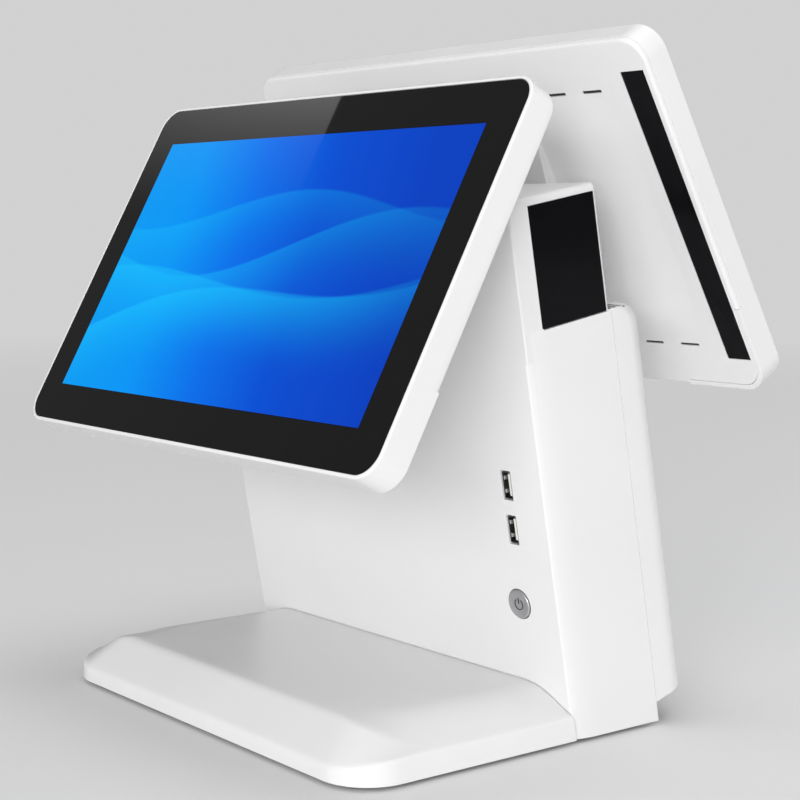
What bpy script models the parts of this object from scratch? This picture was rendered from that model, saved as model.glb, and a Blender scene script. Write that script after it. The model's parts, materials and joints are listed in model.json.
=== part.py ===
"""Dual-screen point-of-sale terminal: a flat foot, a column that leans towards the operator, and two
tilting displays. Metres, +Z up, +X to the operator's right, the operator at -Y and the customer at +Y.
The origin is under the middle of the object's box, on the surface it stands on."""

import math

import bmesh
import bpy
from mathutils import Matrix, Vector

# Placing of the whole object
GAP = 0.0003  # between touching pieces
GROUND_GAP = 0.0018  # shell bottom above the surface, as the pads hold it
Y_TO_BOX_CENTRE = -0.0843  # moves the box's middle over the origin

# Body
BODY_HALF_WIDTH = 0.1273
WALL = 0.0025
LEAN = math.radians(10.92)  # the column's lean towards the operator
COLUMN_FRONT_Y = 0.0960  # the column's front face where it meets the surface
SIDE_DEPTH = 0.0545  # front face to rear seam, square to the lean
BODY_DEPTH = 0.0790  # front face to the rear cover's face
RIM_HEIGHT = 0.1940  # along the lean, as are all the column's heights
FRONT_CORNER = 0.0030
REAR_CORNER = 0.0140
TOP_CORNER = 0.0110  # the rear cover's rounding from its roof to its face
ROOF = 0.0030
TOP_OPENING_HALF_WIDTH, TOP_OPENING_REAR = 0.1262, 0.0652  # the louvred gap behind the neck
LOUVRE_LOW, LOUVRE_HIGH = 0.1915, 0.1931

# Neck, the column's upper part
NECK_HALF_WIDTH = 0.1263
NECK_DEPTH = 0.0540
NECK_TOP = 0.2530
NECK_TOP_CORNER = 0.0025
PANEL_FRONT, PANEL_BACK = 0.0119, 0.0526
PANEL_BOTTOM, PANEL_TOP = 0.1936, 0.2490
PANEL_THICKNESS = 0.0013

# Foot
FOOT_FRONT_Y = -0.0330
FOOT_CORNER = 0.0240
PLATEAU_HEIGHT = 0.0234

# Base plate, pads and screws
PLATE_THICKNESS = 0.0015
PLATE_HALF_WIDTH = 0.1244
PLATE_FRONT_Y, PLATE_REAR_Y = -0.0280, 0.1480
PAD_RADIUS = 0.0090
PAD_PLACES = ((-0.100, -0.010), (0.100, -0.010), (-0.100, 0.130), (0.100, 0.130))
SCREW_PLACES = ((-0.060, 0.062), (0.060, 0.062), (-0.060, 0.138), (0.060, 0.138))

# Front sockets and power button, by their place on the column's front face
PORT_X = 0.1015
USB_HEIGHTS = (0.1211, 0.0995)
USB_SHELL_WIDTH, USB_SHELL_HEIGHT, USB_SHELL_DEPTH = 0.0057, 0.0131, 0.0130
USB_METAL = 0.0004
BUTTON_X, BUTTON_HEIGHT = 0.0996, 0.0626
BUTTON_RADIUS = 0.0071
BUTTON_PROUD = 0.0009
FRONT_BOARD_DEPTH = 0.0142
GUIDE_RADIUS = 0.0098  # the power button's guide
SPRING_RADIUS, SPRING_WIRE = 0.0040, 0.0002

# Rear ports on the panel inside the rear cover
IO_PANEL_FRONT, IO_PANEL_REAR = 0.0492, 0.0504
PORT_ROW = 0.0420  # height of their middles
PORT_FRONT, PORT_REAR = 0.0379, 0.0512
REAR_PORTS = (  # name, middle across, width, height
    ("dc_inlet_jack", -0.0700, 0.0100, 0.0110),
    ("drawer_port", -0.0440, 0.0135, 0.0125),
    ("lan_port", -0.0180, 0.0160, 0.0135),
    ("video_port", 0.0080, 0.0150, 0.0062),
    ("rear_usb_stack", 0.0320, 0.0145, 0.0156),
)

# Mainboard and its heat sink
BOARD_LEFT, BOARD_RIGHT = -0.0850, 0.0700
BOARD_FRONT, BOARD_THICKNESS = 0.0360, 0.0016
BOARD_LOW, BOARD_HIGH = 0.0300, 0.1500
SINK_HALF_WIDTH, SINK_LOW, SINK_HIGH = 0.0250, 0.0850, 0.1350
FIN_COUNT, FIN_THICKNESS, FIN_FRONT = 8, 0.0015, 0.0180

# Displays, both alike: x across, y into the depth from the glass's face, z up the display
ACTIVE_WIDTH, ACTIVE_HEIGHT = 0.2561, 0.1440
ACTIVE_DROP = 0.0008  # the picture's centre below the frame's
FRAME_HALF_WIDTH, FRAME_HALF_HEIGHT = 0.1497, 0.0944
FRAME_CORNER = 0.0130
FRAME_DEPTH = 0.0126
FRAME_RING = 0.0070  # width of the frame's solid ring
LIP = 0.0017
GLASS_THICKNESS = 0.0018
LCD_DEPTH = 0.0062
BACK_INSET = 0.0003  # the back cover's outline inside the frame's
BACK_MARGIN_DEPTH = 0.0153  # glass face to the back cover's flat margin
BACK_RISE = 0.0047  # the back cover's raised middle above its margin
BACK_WALL = 0.0020
RAISED_HALF_WIDTH, RAISED_HALF_HEIGHT = 0.1250, 0.0720
FALL_ACROSS, FALL_UP = 0.0450, 0.0260  # how far in from its edges the raised middle reaches its height
GUARD_THICKNESS = 0.0026  # the frame's walls round the display's two lower corners
GUARD_TOP, GUARD_INNER_X = -0.0480, 0.1000
STRIP_X, STRIP_WIDTH, STRIP_THICKNESS = 0.1389, 0.0135, 0.0012
STRIP_LOW, STRIP_HIGH = -0.0764, 0.0780
VENT_LENGTH, VENT_WIDTH, VENTS_PER_SIDE = 0.0124, 0.0016, 5
VENT_X, VENT_PITCH, VENT_Z = 0.0159, 0.0235, 0.0697
FRONT_TILT = math.radians(28.2)  # from upright, top away from the operator
CUSTOMER_TILT = math.radians(30.93)  # from upright, top away from the customer
FRONT_CENTRE_Y, FRONT_CENTRE_Z = 0.0004, 0.2191
CUSTOMER_CENTRE_Y, CUSTOMER_CENTRE_Z = 0.1642, 0.2487

# Hinges: where each axis lies in the column's own axes (depth behind the front face, height)
FRONT_AXIS_DEPTH, FRONT_AXIS_HEIGHT = -0.0100, 0.2370
CUSTOMER_AXIS_DEPTH, CUSTOMER_AXIS_HEIGHT = 0.0700, 0.2370
SHAFT_RADIUS = 0.0030
BORE_RADIUS = 0.0033
KNUCKLE_RADIUS = 0.0060
ARM_INNER_X, ARM_OUTER_X = 0.0330, 0.0390
WASHER_RADIUS = 0.0055
WASHER_INNER_X, WASHER_OUTER_X = 0.0393, 0.0405
LEAF_INNER_X, LEAF_OUTER_X = 0.0408, 0.0480
SHAFT_HALF_LENGTH = 0.0500
LEAF_THICKNESS = 0.0020
HINGE_COVER_HALF_WIDTH = 0.0680

PARTS = "pos_touchscreen_terminal"
CUTTERS = "cutters"
FINISHES = {  # colour, roughness, metallic
    "white_shell": ((0.80, 0.80, 0.81), 0.38, 0.0),
    "gloss_black": ((0.010, 0.010, 0.012), 0.10, 0.0),
    "screen_glass": ((0.016, 0.016, 0.017), 0.06, 0.0),
    "lcd": ((0.02, 0.16, 0.62), 0.30, 0.0),
    "matte_black": ((0.03, 0.03, 0.03), 0.60, 0.0),
    "rubber": ((0.025, 0.025, 0.025), 0.85, 0.0),
    "steel": ((0.55, 0.56, 0.57), 0.35, 1.0),
    "dark_steel": ((0.10, 0.10, 0.11), 0.45, 1.0),
    "aluminium": ((0.75, 0.76, 0.77), 0.40, 1.0),
    "button_metal": ((0.42, 0.42, 0.43), 0.42, 0.8),
    "circuit_board": ((0.02, 0.14, 0.06), 0.55, 0.0),
    "white_plastic": ((0.78, 0.77, 0.72), 0.45, 0.0),
}


# ---------------------------------------------------------------- objects and meshes


def clear_scene():
    for item in list(bpy.data.objects):
        bpy.data.objects.remove(item, do_unlink=True)


def add_collection(name):
    collection = bpy.data.collections.new(name)
    bpy.context.scene.collection.children.link(collection)
    return collection


def add_empty(name, location, tilt=0.0, turn=0.0, parent=None):
    """An axis cross, first turned about Z and then tilted about X."""
    empty = bpy.data.objects.new(name, None)
    bpy.data.collections[PARTS].objects.link(empty)
    empty.parent = parent
    rotation = Matrix.Rotation(tilt, 3, "X") @ Matrix.Rotation(turn, 3, "Z")
    empty.location = location
    empty.rotation_euler = rotation.to_euler()
    return empty


def make_finish(name, finish):
    colour, roughness, metallic = FINISHES[finish]
    material = bpy.data.materials.new(f"{name}_{finish}")
    material.use_nodes = True
    shader = material.node_tree.nodes["Principled BSDF"]
    shader.inputs["Base Color"].default_value = (*colour, 1.0)
    shader.inputs["Roughness"].default_value = roughness
    shader.inputs["Metallic"].default_value = metallic
    material.diffuse_color = (*colour, 1.0)
    return material


def add_part(name, mesh, finish, parent, location=(0, 0, 0)):
    part = bpy.data.objects.new(name, mesh)
    bpy.data.collections[PARTS].objects.link(part)
    part.parent = parent
    part.location = location
    mesh.name = name
    mesh.materials.clear()
    mesh.materials.append(make_finish(name, finish))
    mesh.shade_smooth()
    mesh.set_sharp_from_angle(angle=math.radians(35))
    return part


def add_tool(mesh, parent, location=(0, 0, 0), tilt=0.0):
    """A hidden solid for the Booleans."""
    tool = bpy.data.objects.new(mesh.name, mesh)
    bpy.data.collections[CUTTERS].objects.link(tool)
    tool.parent = parent
    tool.location = location
    tool.rotation_euler = (tilt, 0, 0)
    tool.hide_render = True
    tool.display_type = "WIRE"
    return tool


def apply_tool(part, tool, operation):
    modifier = part.modifiers.new(tool.name, "BOOLEAN")
    modifier.operation = operation
    modifier.object = tool


def cut(part, mesh, tilt=0.0):
    """Takes a solid, given in the part's own axes, out of the part."""
    apply_tool(part, add_tool(mesh, part.parent, part.location, tilt), "DIFFERENCE")


def join(part, mesh):
    """Adds a solid, given in the part's own axes, to the part."""
    apply_tool(part, add_tool(mesh, part.parent, part.location), "UNION")


def mesh_from(bm, name):
    bmesh.ops.recalc_face_normals(bm, faces=bm.faces)
    if bm.calc_volume(signed=True) < 0:
        bmesh.ops.reverse_faces(bm, faces=bm.faces)
    mesh = bpy.data.meshes.new(name)
    bm.to_mesh(mesh)
    bm.free()
    return mesh


def box_mesh(name, low, high):
    """A box from its lowest corner to its highest."""
    low, high = Vector(low), Vector(high)
    bm = bmesh.new()
    bmesh.ops.create_cube(bm, size=1.0)
    bmesh.ops.scale(bm, vec=high - low, verts=bm.verts)
    bmesh.ops.translate(bm, vec=(low + high) / 2, verts=bm.verts)
    return mesh_from(bm, name)


def centred_box_mesh(name, centre, size):
    centre, size = Vector(centre), Vector(size)
    return box_mesh(name, centre - size / 2, centre + size / 2)


def rod_mesh(name, radius, start, end, centre, axis, segments=24):
    """A cylinder from start to end along an axis; centre gives its other two coordinates in order."""
    bm = bmesh.new()
    bmesh.ops.create_cone(
        bm, cap_ends=True, segments=segments, radius1=radius, radius2=radius, depth=end - start
    )
    turn = {"X": Matrix.Rotation(math.pi / 2, 3, "Y"), "Y": Matrix.Rotation(-math.pi / 2, 3, "X")}
    if axis in turn:
        bmesh.ops.rotate(bm, matrix=turn[axis], verts=bm.verts)
    place = list(centre)
    place.insert("XYZ".index(axis), (start + end) / 2)
    bmesh.ops.translate(bm, vec=place, verts=bm.verts)
    return mesh_from(bm, name)


def plate_mesh(name, outlines, low, high, plane="XY"):
    """The area inside the first outline, less the others, drawn in a plane and thick from low to high."""
    curve = bpy.data.curves.new(name, "CURVE")
    curve.dimensions = "2D"
    curve.fill_mode = "BOTH"
    curve.extrude = (high - low) / 2
    for outline in outlines:
        spline = curve.splines.new("POLY")
        spline.points.add(len(outline) - 1)
        for point, (across, along) in zip(spline.points, outline):
            point.co = (across, along, 0, 1)
        spline.use_cyclic_u = True
    drawn = bpy.data.objects.new(name, curve)
    bpy.data.collections[PARTS].objects.link(drawn)
    graph = bpy.context.evaluated_depsgraph_get()
    mesh = bpy.data.meshes.new_from_object(drawn.evaluated_get(graph))
    bpy.data.objects.remove(drawn)
    bpy.data.curves.remove(curve)
    bm = bmesh.new()
    bm.from_mesh(mesh)
    bpy.data.meshes.remove(mesh)
    bmesh.ops.remove_doubles(bm, verts=bm.verts, dist=1e-6)
    order = {"XY": (0, 1, 2), "XZ": (0, 2, 1), "YZ": (1, 2, 0)}[plane]
    for vert in bm.verts:
        drawn_at = (vert.co.x, vert.co.y, vert.co.z + (low + high) / 2)
        vert.co = [drawn_at[order.index(axis)] for axis in range(3)]
    return mesh_from(bm, name)


def rounded_rectangle(low, high, radii, steps=5):
    """Points round a rectangle.
    The radii are its corners' in turn: right top, left top, left bottom, right bottom."""
    corners = ((high[0], high[1]), (low[0], high[1]), (low[0], low[1]), (high[0], low[1]))
    points = []
    for quarter, ((x, y), radius) in enumerate(zip(corners, radii)):
        centre_x = x + (radius if quarter in (1, 2) else -radius)
        centre_y = y + (radius if quarter in (2, 3) else -radius)
        for step in range(steps + 1 if radius else 1):
            angle = math.pi / 2 * (quarter + step / steps)
            points.append((centre_x + radius * math.cos(angle), centre_y + radius * math.sin(angle)))
    return points


def round_all(half_width, half_height, radius, steps=5):
    return rounded_rectangle((-half_width, -half_height), (half_width, half_height), (radius,) * 4, steps)


def circle(radius, centre=(0, 0), steps=20):
    turn = 2 * math.pi / steps
    return [
        (centre[0] + radius * math.cos(turn * i), centre[1] + radius * math.sin(turn * i))
        for i in range(steps)
    ]


def smooth_step(value):
    value = min(max(value, 0.0), 1.0)
    return value * value * (3 - 2 * value)


def loft_mesh(name, rings):
    """A solid through closed rings of as many points each, capped at both ends."""
    bm = bmesh.new()
    rows = [[bm.verts.new(point) for point in ring] for ring in rings]
    for lower, upper in zip(rows, rows[1:]):
        for i in range(len(lower)):
            following = (i + 1) % len(lower)
            bm.faces.new((lower[i], lower[following], upper[following], upper[i]))
    bm.faces.new(rows[0][::-1])
    bm.faces.new(rows[-1])
    return mesh_from(bm, name)


def upright_plate_mesh(name, outline, low, high):
    """A single outline across and up, thick from low to high in depth."""
    return loft_mesh(name, [[(across, depth, up) for across, up in outline] for depth in (low, high)])


# ---------------------------------------------------------------- foot and base


def foot_ring(half_width, front_y, radius, front_height, side_height, rear_gap, corner_steps=7):
    """One level line of the foot: across its front, round its corners and back along its sides to the column.
    Its height eases from the front's to the sides' round each corner."""
    right = []
    for step in range(corner_steps + 1):
        angle = math.pi / 2 * step / corner_steps
        ease = smooth_step(step / corner_steps)
        x = half_width - radius + radius * math.sin(angle)
        y = front_y + radius - radius * math.cos(angle)
        right.append((x, y, front_height + (side_height - front_height) * ease))
    rear_y = COLUMN_FRONT_Y - math.tan(LEAN) * side_height - rear_gap
    right.append((half_width, rear_y, side_height))
    return [(-x, y, z) for x, y, z in reversed(right)] + right


def foot_levels(inset):
    """The foot's level lines from its bottom edge up to its flat top, moved inwards by inset."""
    levels = (  # half width, front, corner radius, height at the front, height at the sides
        (BODY_HALF_WIDTH, FOOT_FRONT_Y, FOOT_CORNER, 0.0, 0.0),
        (BODY_HALF_WIDTH, FOOT_FRONT_Y, FOOT_CORNER, 0.0058, 0.0095),
        (BODY_HALF_WIDTH - 0.0004, FOOT_FRONT_Y + 0.0012, FOOT_CORNER, 0.0080, 0.0110),
        (BODY_HALF_WIDTH - 0.0009, FOOT_FRONT_Y + 0.0175, 0.0400, 0.0224, 0.0117),
        (BODY_HALF_WIDTH - 0.0038, FOOT_FRONT_Y + 0.0205, 0.0370, 0.0232, 0.0131),
        (BODY_HALF_WIDTH - 0.0093, FOOT_FRONT_Y + 0.0225, 0.0330, PLATEAU_HEIGHT, 0.0162),
        (BODY_HALF_WIDTH - 0.0163, FOOT_FRONT_Y + 0.0245, 0.0280, PLATEAU_HEIGHT, 0.0202),
        (BODY_HALF_WIDTH - 0.0233, FOOT_FRONT_Y + 0.0265, 0.0230, PLATEAU_HEIGHT, 0.0226),
        (BODY_HALF_WIDTH - 0.0313, FOOT_FRONT_Y + 0.0295, 0.0170, PLATEAU_HEIGHT, PLATEAU_HEIGHT),
    )
    return [
        (width - inset, front + inset, radius - inset, max(high - inset, 0), max(side - inset, 0))
        for width, front, radius, high, side in levels
    ]


def build_foot(base):
    outer = [foot_ring(*level, GAP) for level in foot_levels(0.0)]
    foot = add_part("foot_shell", loft_mesh("foot_shell", outer), "white_shell", base)
    inner = [foot_ring(*level, GAP + WALL, 4) for level in foot_levels(WALL)[1:]]
    inner[0] = [(x, y, -WALL) for x, y, z in inner[0]]
    cut(foot, loft_mesh("foot_hollow", inner))
    apply_tool(foot, add_tool(plate_clearance_mesh(), base), "DIFFERENCE")


def plate_clearance_mesh():
    """Room for the base plate where it passes under the foot's rear wall and the column's front wall."""
    low = (-PLATE_HALF_WIDTH - GAP, COLUMN_FRONT_Y - 0.020, -0.005)
    high = (PLATE_HALF_WIDTH + GAP, COLUMN_FRONT_Y + 0.020, PLATE_THICKNESS + GAP)
    return box_mesh("plate_clearance", low, high)


def build_base_plate(base):
    corner = FOOT_CORNER
    outline = rounded_rectangle(
        (-PLATE_HALF_WIDTH, PLATE_FRONT_Y), (PLATE_HALF_WIDTH, PLATE_REAR_Y), (0.002, 0.002, corner, corner)
    )
    holes = [circle(0.0016, place, 10) for place in SCREW_PLACES]
    slots = [
        rounded_rectangle((0.052 + 0.006 * i, 0.022), (0.0545 + 0.006 * i, 0.042), (0.0012,) * 4, 2)
        for i in range(6)
    ]
    mesh = plate_mesh("base_plate", [outline] + holes + slots, 0.0, PLATE_THICKNESS)
    add_part("base_plate", mesh, "dark_steel", base)


def build_pads(base):
    names = ("pad_front_left", "pad_front_right", "pad_rear_left", "pad_rear_right")
    for name, place in zip(names, PAD_PLACES):
        mesh = rod_mesh(name, PAD_RADIUS, -GROUND_GAP, -GAP, place, "Z", 20)
        add_part(name, mesh, "rubber", base)


def build_base_screws(base):
    for number, place in enumerate(SCREW_PLACES, 1):
        name = f"base_screw_{number}"
        screw = add_part(name, rod_mesh(name, 0.0027, -0.0013, -GAP, place, "Z", 16), "steel", base)
        join(screw, rod_mesh("shank", 0.0012, -0.0008, 0.0080, place, "Z", 10))


def build_ballast(base):
    low = (-0.095, -0.012, PLATE_THICKNESS + GAP)
    ballast = box_mesh("ballast_plate", low, (0.045, 0.046, 0.0105))
    add_part("ballast_plate", ballast, "dark_steel", base)


def build_speaker(base):
    centre = (0.0685, 0.032)
    bottom = PLATE_THICKNESS + GAP
    frame = rod_mesh("speaker", 0.0180, bottom, 0.0060, centre, "Z", 28)
    speaker = add_part("speaker", frame, "matte_black", base)
    join(speaker, rod_mesh("magnet", 0.0110, 0.0050, 0.0130, centre, "Z", 24))


# ---------------------------------------------------------------- column, in its own leaning axes


def build_column_shell(column, base):
    outline = rounded_rectangle(
        (-BODY_HALF_WIDTH, 0.0), (BODY_HALF_WIDTH, SIDE_DEPTH), (0, 0, FRONT_CORNER, FRONT_CORNER), 4
    )
    mesh = plate_mesh("column_shell", [outline], -0.0150, RIM_HEIGHT)
    shell = add_part("column_shell", mesh, "white_shell", column)
    neck_outline = rounded_rectangle(
        (-NECK_HALF_WIDTH, 0.1800), (NECK_HALF_WIDTH, NECK_TOP), (NECK_TOP_CORNER, NECK_TOP_CORNER, 0, 0), 4
    )
    join(shell, plate_mesh("neck", [neck_outline], 0.0002, NECK_DEPTH, "XZ"))
    inner = BODY_HALF_WIDTH - WALL
    cut(shell, box_mesh("column_hollow", (-inner, WALL, -0.020), (inner, 0.0650, RIM_HEIGHT - WALL)))
    inner = NECK_HALF_WIDTH - WALL
    high = (inner, NECK_DEPTH - WALL, NECK_TOP - WALL)
    cut(shell, box_mesh("neck_hollow", (-inner, WALL, RIM_HEIGHT - 0.010), high))
    cut_side_pockets(shell)
    cut_front_openings(shell)
    cut_hinge_slots(shell)
    below = box_mesh("below_surface", (-0.2, -0.1, -0.1), (0.2, 0.3, 0.0))
    apply_tool(shell, add_tool(below, base), "DIFFERENCE")
    apply_tool(shell, add_tool(plate_clearance_mesh(), base), "DIFFERENCE")


def cut_side_pockets(shell):
    floor = NECK_HALF_WIDTH - PANEL_THICKNESS - GAP
    edge = NECK_HALF_WIDTH + 0.0003
    for side in (-1, 1):
        first, second = sorted((side * floor, side * edge))
        low = (first, PANEL_FRONT - GAP, PANEL_BOTTOM - GAP)
        cut(shell, box_mesh("side_pocket", low, (second, PANEL_BACK + GAP, PANEL_TOP + GAP)))


def cut_front_openings(shell):
    for height in USB_HEIGHTS:
        cut(shell, centred_box_mesh("usb_opening", (PORT_X, 0.0, height), (0.0068, 0.010, 0.0144)))
    centre = (BUTTON_X, BUTTON_HEIGHT)
    cut(shell, rod_mesh("button_opening", BUTTON_RADIUS + 0.0004, -0.005, 0.005, centre, "Y", 28))


def cut_hinge_slots(shell):
    middle = (ARM_INNER_X + ARM_OUTER_X) / 2
    slot = (ARM_OUTER_X - ARM_INNER_X + 0.0012, 0.0100, 2 * KNUCKLE_RADIUS + 0.0030)
    for side in (-1, 1):
        cut(shell, centred_box_mesh("front_slot", (side * middle, 0.0, FRONT_AXIS_HEIGHT), slot))
        rear = (side * middle, NECK_DEPTH, CUSTOMER_AXIS_HEIGHT)
        cut(shell, centred_box_mesh("rear_slot", rear, slot))


def build_side_panels(column):
    floor, face = NECK_HALF_WIDTH - PANEL_THICKNESS, NECK_HALF_WIDTH + 0.0001
    for side, name in ((-1, "side_panel_left"), (1, "side_panel_right")):
        first, second = sorted((side * floor, side * face))
        low = (first, PANEL_FRONT, PANEL_BOTTOM)
        add_part(name, box_mesh(name, low, (second, PANEL_BACK, PANEL_TOP)), "gloss_black", column)


def build_rear_cover(column):
    """A U-shaped cover with an open foot that lets cables out and a roof with a gap behind the neck."""
    seam = SIDE_DEPTH + GAP
    outer = rounded_rectangle(
        (-BODY_HALF_WIDTH, seam), (BODY_HALF_WIDTH, BODY_DEPTH), (REAR_CORNER, REAR_CORNER, 0, 0), 7
    )
    mesh = plate_mesh("rear_cover", [outer], -0.0150, RIM_HEIGHT)
    cover = add_part("rear_cover", mesh, "white_shell", column)
    inner_corner = REAR_CORNER - WALL
    inner_low = (-BODY_HALF_WIDTH + WALL, seam - 0.0100)
    inner_high = (BODY_HALF_WIDTH - WALL, BODY_DEPTH - WALL)
    inner = rounded_rectangle(inner_low, inner_high, (inner_corner, inner_corner, 0, 0), 7)
    rounding_start = RIM_HEIGHT - TOP_CORNER
    cut(cover, plate_mesh("rear_hollow", [inner], -0.0200, rounding_start - 0.0010))
    under_roof = rounded_rectangle(
        (seam - 0.0100, rounding_start - 0.0050),
        (BODY_DEPTH - WALL, RIM_HEIGHT - ROOF),
        (TOP_CORNER - WALL, 0, 0, 0),
        5,
    )
    under_half_width = BODY_HALF_WIDTH - REAR_CORNER + 0.0015
    cut(cover, plate_mesh("under_roof", [under_roof], -under_half_width, under_half_width, "YZ"))
    low = (-TOP_OPENING_HALF_WIDTH, seam - 0.0100, rounding_start)
    cut(cover, box_mesh("top_opening", low, (TOP_OPENING_HALF_WIDTH, TOP_OPENING_REAR, RIM_HEIGHT + 0.0100)))
    cut(cover, plate_mesh("top_rounding", [top_rounding_outline(6)], -0.15, 0.15, "YZ"))
    foot_cut = [(0.0400, -0.0250), (0.0900, -0.0250), (0.0900, 0.0030), (0.0548, -0.0008), (0.0400, -0.0024)]
    cut(cover, plate_mesh("cable_exit", [foot_cut], -0.15, 0.15, "YZ"))


def top_rounding_outline(steps):
    """What the rounding takes off the edge between the rear cover's roof and its face."""
    centre = (BODY_DEPTH - TOP_CORNER, RIM_HEIGHT - TOP_CORNER)
    beyond = 0.0050
    outline = [(BODY_DEPTH + beyond, centre[1]), (BODY_DEPTH + beyond, RIM_HEIGHT + beyond)]
    outline.append((centre[0], RIM_HEIGHT + beyond))
    for step in range(steps, -1, -1):
        angle = math.pi / 2 * step / steps
        outline.append((centre[0] + TOP_CORNER * math.cos(angle), centre[1] + TOP_CORNER * math.sin(angle)))
    return outline


def build_vent_grille(column):
    """A louvre across the gap in the rear cover's roof, with rows of slots."""
    half_width, rows, places = TOP_OPENING_HALF_WIDTH - GAP, 3, 6
    front, rear = SIDE_DEPTH + 2 * GAP, TOP_OPENING_REAR - GAP
    rim, bar, rib = 0.0012, 0.0010, 0.0022
    slot_depth = (rear - front - 2 * rim - (rows - 1) * bar) / rows
    slot_length = (2 * (half_width - rim) - (places - 1) * rib) / places
    slots = []
    for row in range(rows):
        for place in range(places):
            left = -half_width + rim + place * (slot_length + rib)
            near = front + rim + row * (slot_depth + bar)
            slots.append([(left, near), (left + slot_length, near)])
            slots[-1] += [(left + slot_length, near + slot_depth), (left, near + slot_depth)]
    outline = [(-half_width, front), (half_width, front), (half_width, rear), (-half_width, rear)]
    grille = plate_mesh("top_vent_grille", [outline] + slots, LOUVRE_LOW, LOUVRE_HIGH)
    add_part("top_vent_grille", grille, "white_shell", column)


def build_chassis(column, base):
    """A rectangular steel tube that carries both hinges, on two legs."""
    outer = rounded_rectangle((-0.0550, 0.0055), (0.0550, 0.0485), (0.0028,) * 4, 2)
    inner = rounded_rectangle((-0.0530, 0.0075), (0.0530, 0.0465), (0.001,) * 4, 2)
    mesh = plate_mesh("hinge_chassis", [outer, inner], 0.1950, 0.2495)
    chassis = add_part("hinge_chassis", mesh, "steel", column)
    for side in (-1, 1):
        first, second = sorted((side * 0.0515, side * 0.0542))
        join(chassis, box_mesh("leg", (first, 0.0080, -0.010), (second, 0.0290, 0.2400)))
    below = box_mesh("above_plate", (-0.2, -0.1, -0.1), (0.2, 0.3, PLATE_THICKNESS + GAP))
    apply_tool(chassis, add_tool(below, base), "DIFFERENCE")


def build_io_panel(column, base):
    half_width = BODY_HALF_WIDTH - 0.0030
    low, high = (-half_width, IO_PANEL_FRONT, -0.0150), (half_width, IO_PANEL_REAR, 0.1840)
    panel = add_part("io_panel", box_mesh("io_panel", low, high), "matte_black", column)
    below = box_mesh("above_plate", (-0.2, -0.1, -0.1), (0.2, 0.3, PLATE_THICKNESS + GAP))
    apply_tool(panel, add_tool(below, base), "DIFFERENCE")
    for _, x, width, height in REAR_PORTS:
        hole = (width + 0.0008, 0.010, height + 0.0008)
        cut(panel, centred_box_mesh("port_opening", (x, IO_PANEL_FRONT, PORT_ROW), hole))


def build_rear_ports(column):
    metal = {"lan_port": "steel", "rear_usb_stack": "steel", "video_port": "steel"}
    for name, x, width, height in REAR_PORTS:
        low = (x - width / 2, PORT_FRONT, PORT_ROW - height / 2)
        high = (x + width / 2, PORT_REAR, PORT_ROW + height / 2)
        port = add_part(name, box_mesh(name, low, high), metal.get(name, "matte_black"), column)
        cut_socket(port, name, x)


def cut_socket(port, name, x):
    back = PORT_REAR + 0.002
    if name == "dc_inlet_jack":
        rings = [circle(0.0032, (x, PORT_ROW), 20), circle(0.0010, (x, PORT_ROW), 10)]
        cut(port, plate_mesh("socket", rings, PORT_REAR - 0.009, back, "XZ"))
        return
    if name == "video_port":
        outlines = [round_all(0.0069, 0.0024, 0.0008, 2), round_all(0.0056, 0.0006, 0.0002, 1)]
        outlines = [[(x + across, PORT_ROW + up) for across, up in outline] for outline in outlines]
        cut(port, plate_mesh("socket", outlines, PORT_REAR - 0.008, back, "XZ"))
        return
    if name == "rear_usb_stack":
        for offset in (-0.0039, 0.0039):
            place = (x, PORT_REAR, PORT_ROW + offset + 0.0009)
            cut(port, centred_box_mesh("socket", place, (0.0125, 0.018, 0.0026)))
        return
    opening = (0.0118, 0.020, 0.0084) if name == "lan_port" else (0.0098, 0.020, 0.0072)
    cut(port, centred_box_mesh("socket", (x, PORT_REAR, PORT_ROW), opening))


def build_mainboard(column):
    low = (BOARD_LEFT, BOARD_FRONT, BOARD_LOW)
    high = (BOARD_RIGHT, BOARD_FRONT + BOARD_THICKNESS, BOARD_HIGH)
    add_part("mainboard", box_mesh("mainboard", low, high), "circuit_board", column)
    low = (-SINK_HALF_WIDTH, BOARD_FRONT - 0.0040, SINK_LOW)
    high = (SINK_HALF_WIDTH, BOARD_FRONT - GAP, SINK_HIGH)
    heat_sink = add_part("heat_sink", box_mesh("heat_sink", low, high), "aluminium", column)
    pitch = (2 * SINK_HALF_WIDTH - FIN_THICKNESS) / (FIN_COUNT - 1)
    for fin in range(FIN_COUNT):
        left = -SINK_HALF_WIDTH + fin * pitch
        high = (left + FIN_THICKNESS, BOARD_FRONT - 0.0030, SINK_HIGH)
        join(heat_sink, box_mesh("fin", (left, FIN_FRONT, SINK_LOW), high))


# ---------------------------------------------------------------- front sockets and power button


def build_usb_sockets(column):
    for name, height in zip(("upper", "lower"), USB_HEIGHTS):
        shell_name = f"usb_shell_{name}"
        centre = (PORT_X, 0.0006 + USB_SHELL_DEPTH / 2, height)
        size = (USB_SHELL_WIDTH, USB_SHELL_DEPTH, USB_SHELL_HEIGHT)
        shell = add_part(shell_name, centred_box_mesh(shell_name, centre, size), "steel", column)
        opening = (USB_SHELL_WIDTH - 2 * USB_METAL, USB_SHELL_DEPTH, USB_SHELL_HEIGHT - 2 * USB_METAL)
        cut(shell, centred_box_mesh("socket", (PORT_X, 0.0001 + USB_SHELL_DEPTH / 2, height), opening))
        tongue_name = f"usb_tongue_{name}"
        low = (PORT_X + 0.0002, 0.0012, height - 0.0055)
        tongue = box_mesh(tongue_name, low, (PORT_X + 0.0021, 0.0126, height + 0.0055))
        add_part(tongue_name, tongue, "white_plastic", column)


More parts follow.
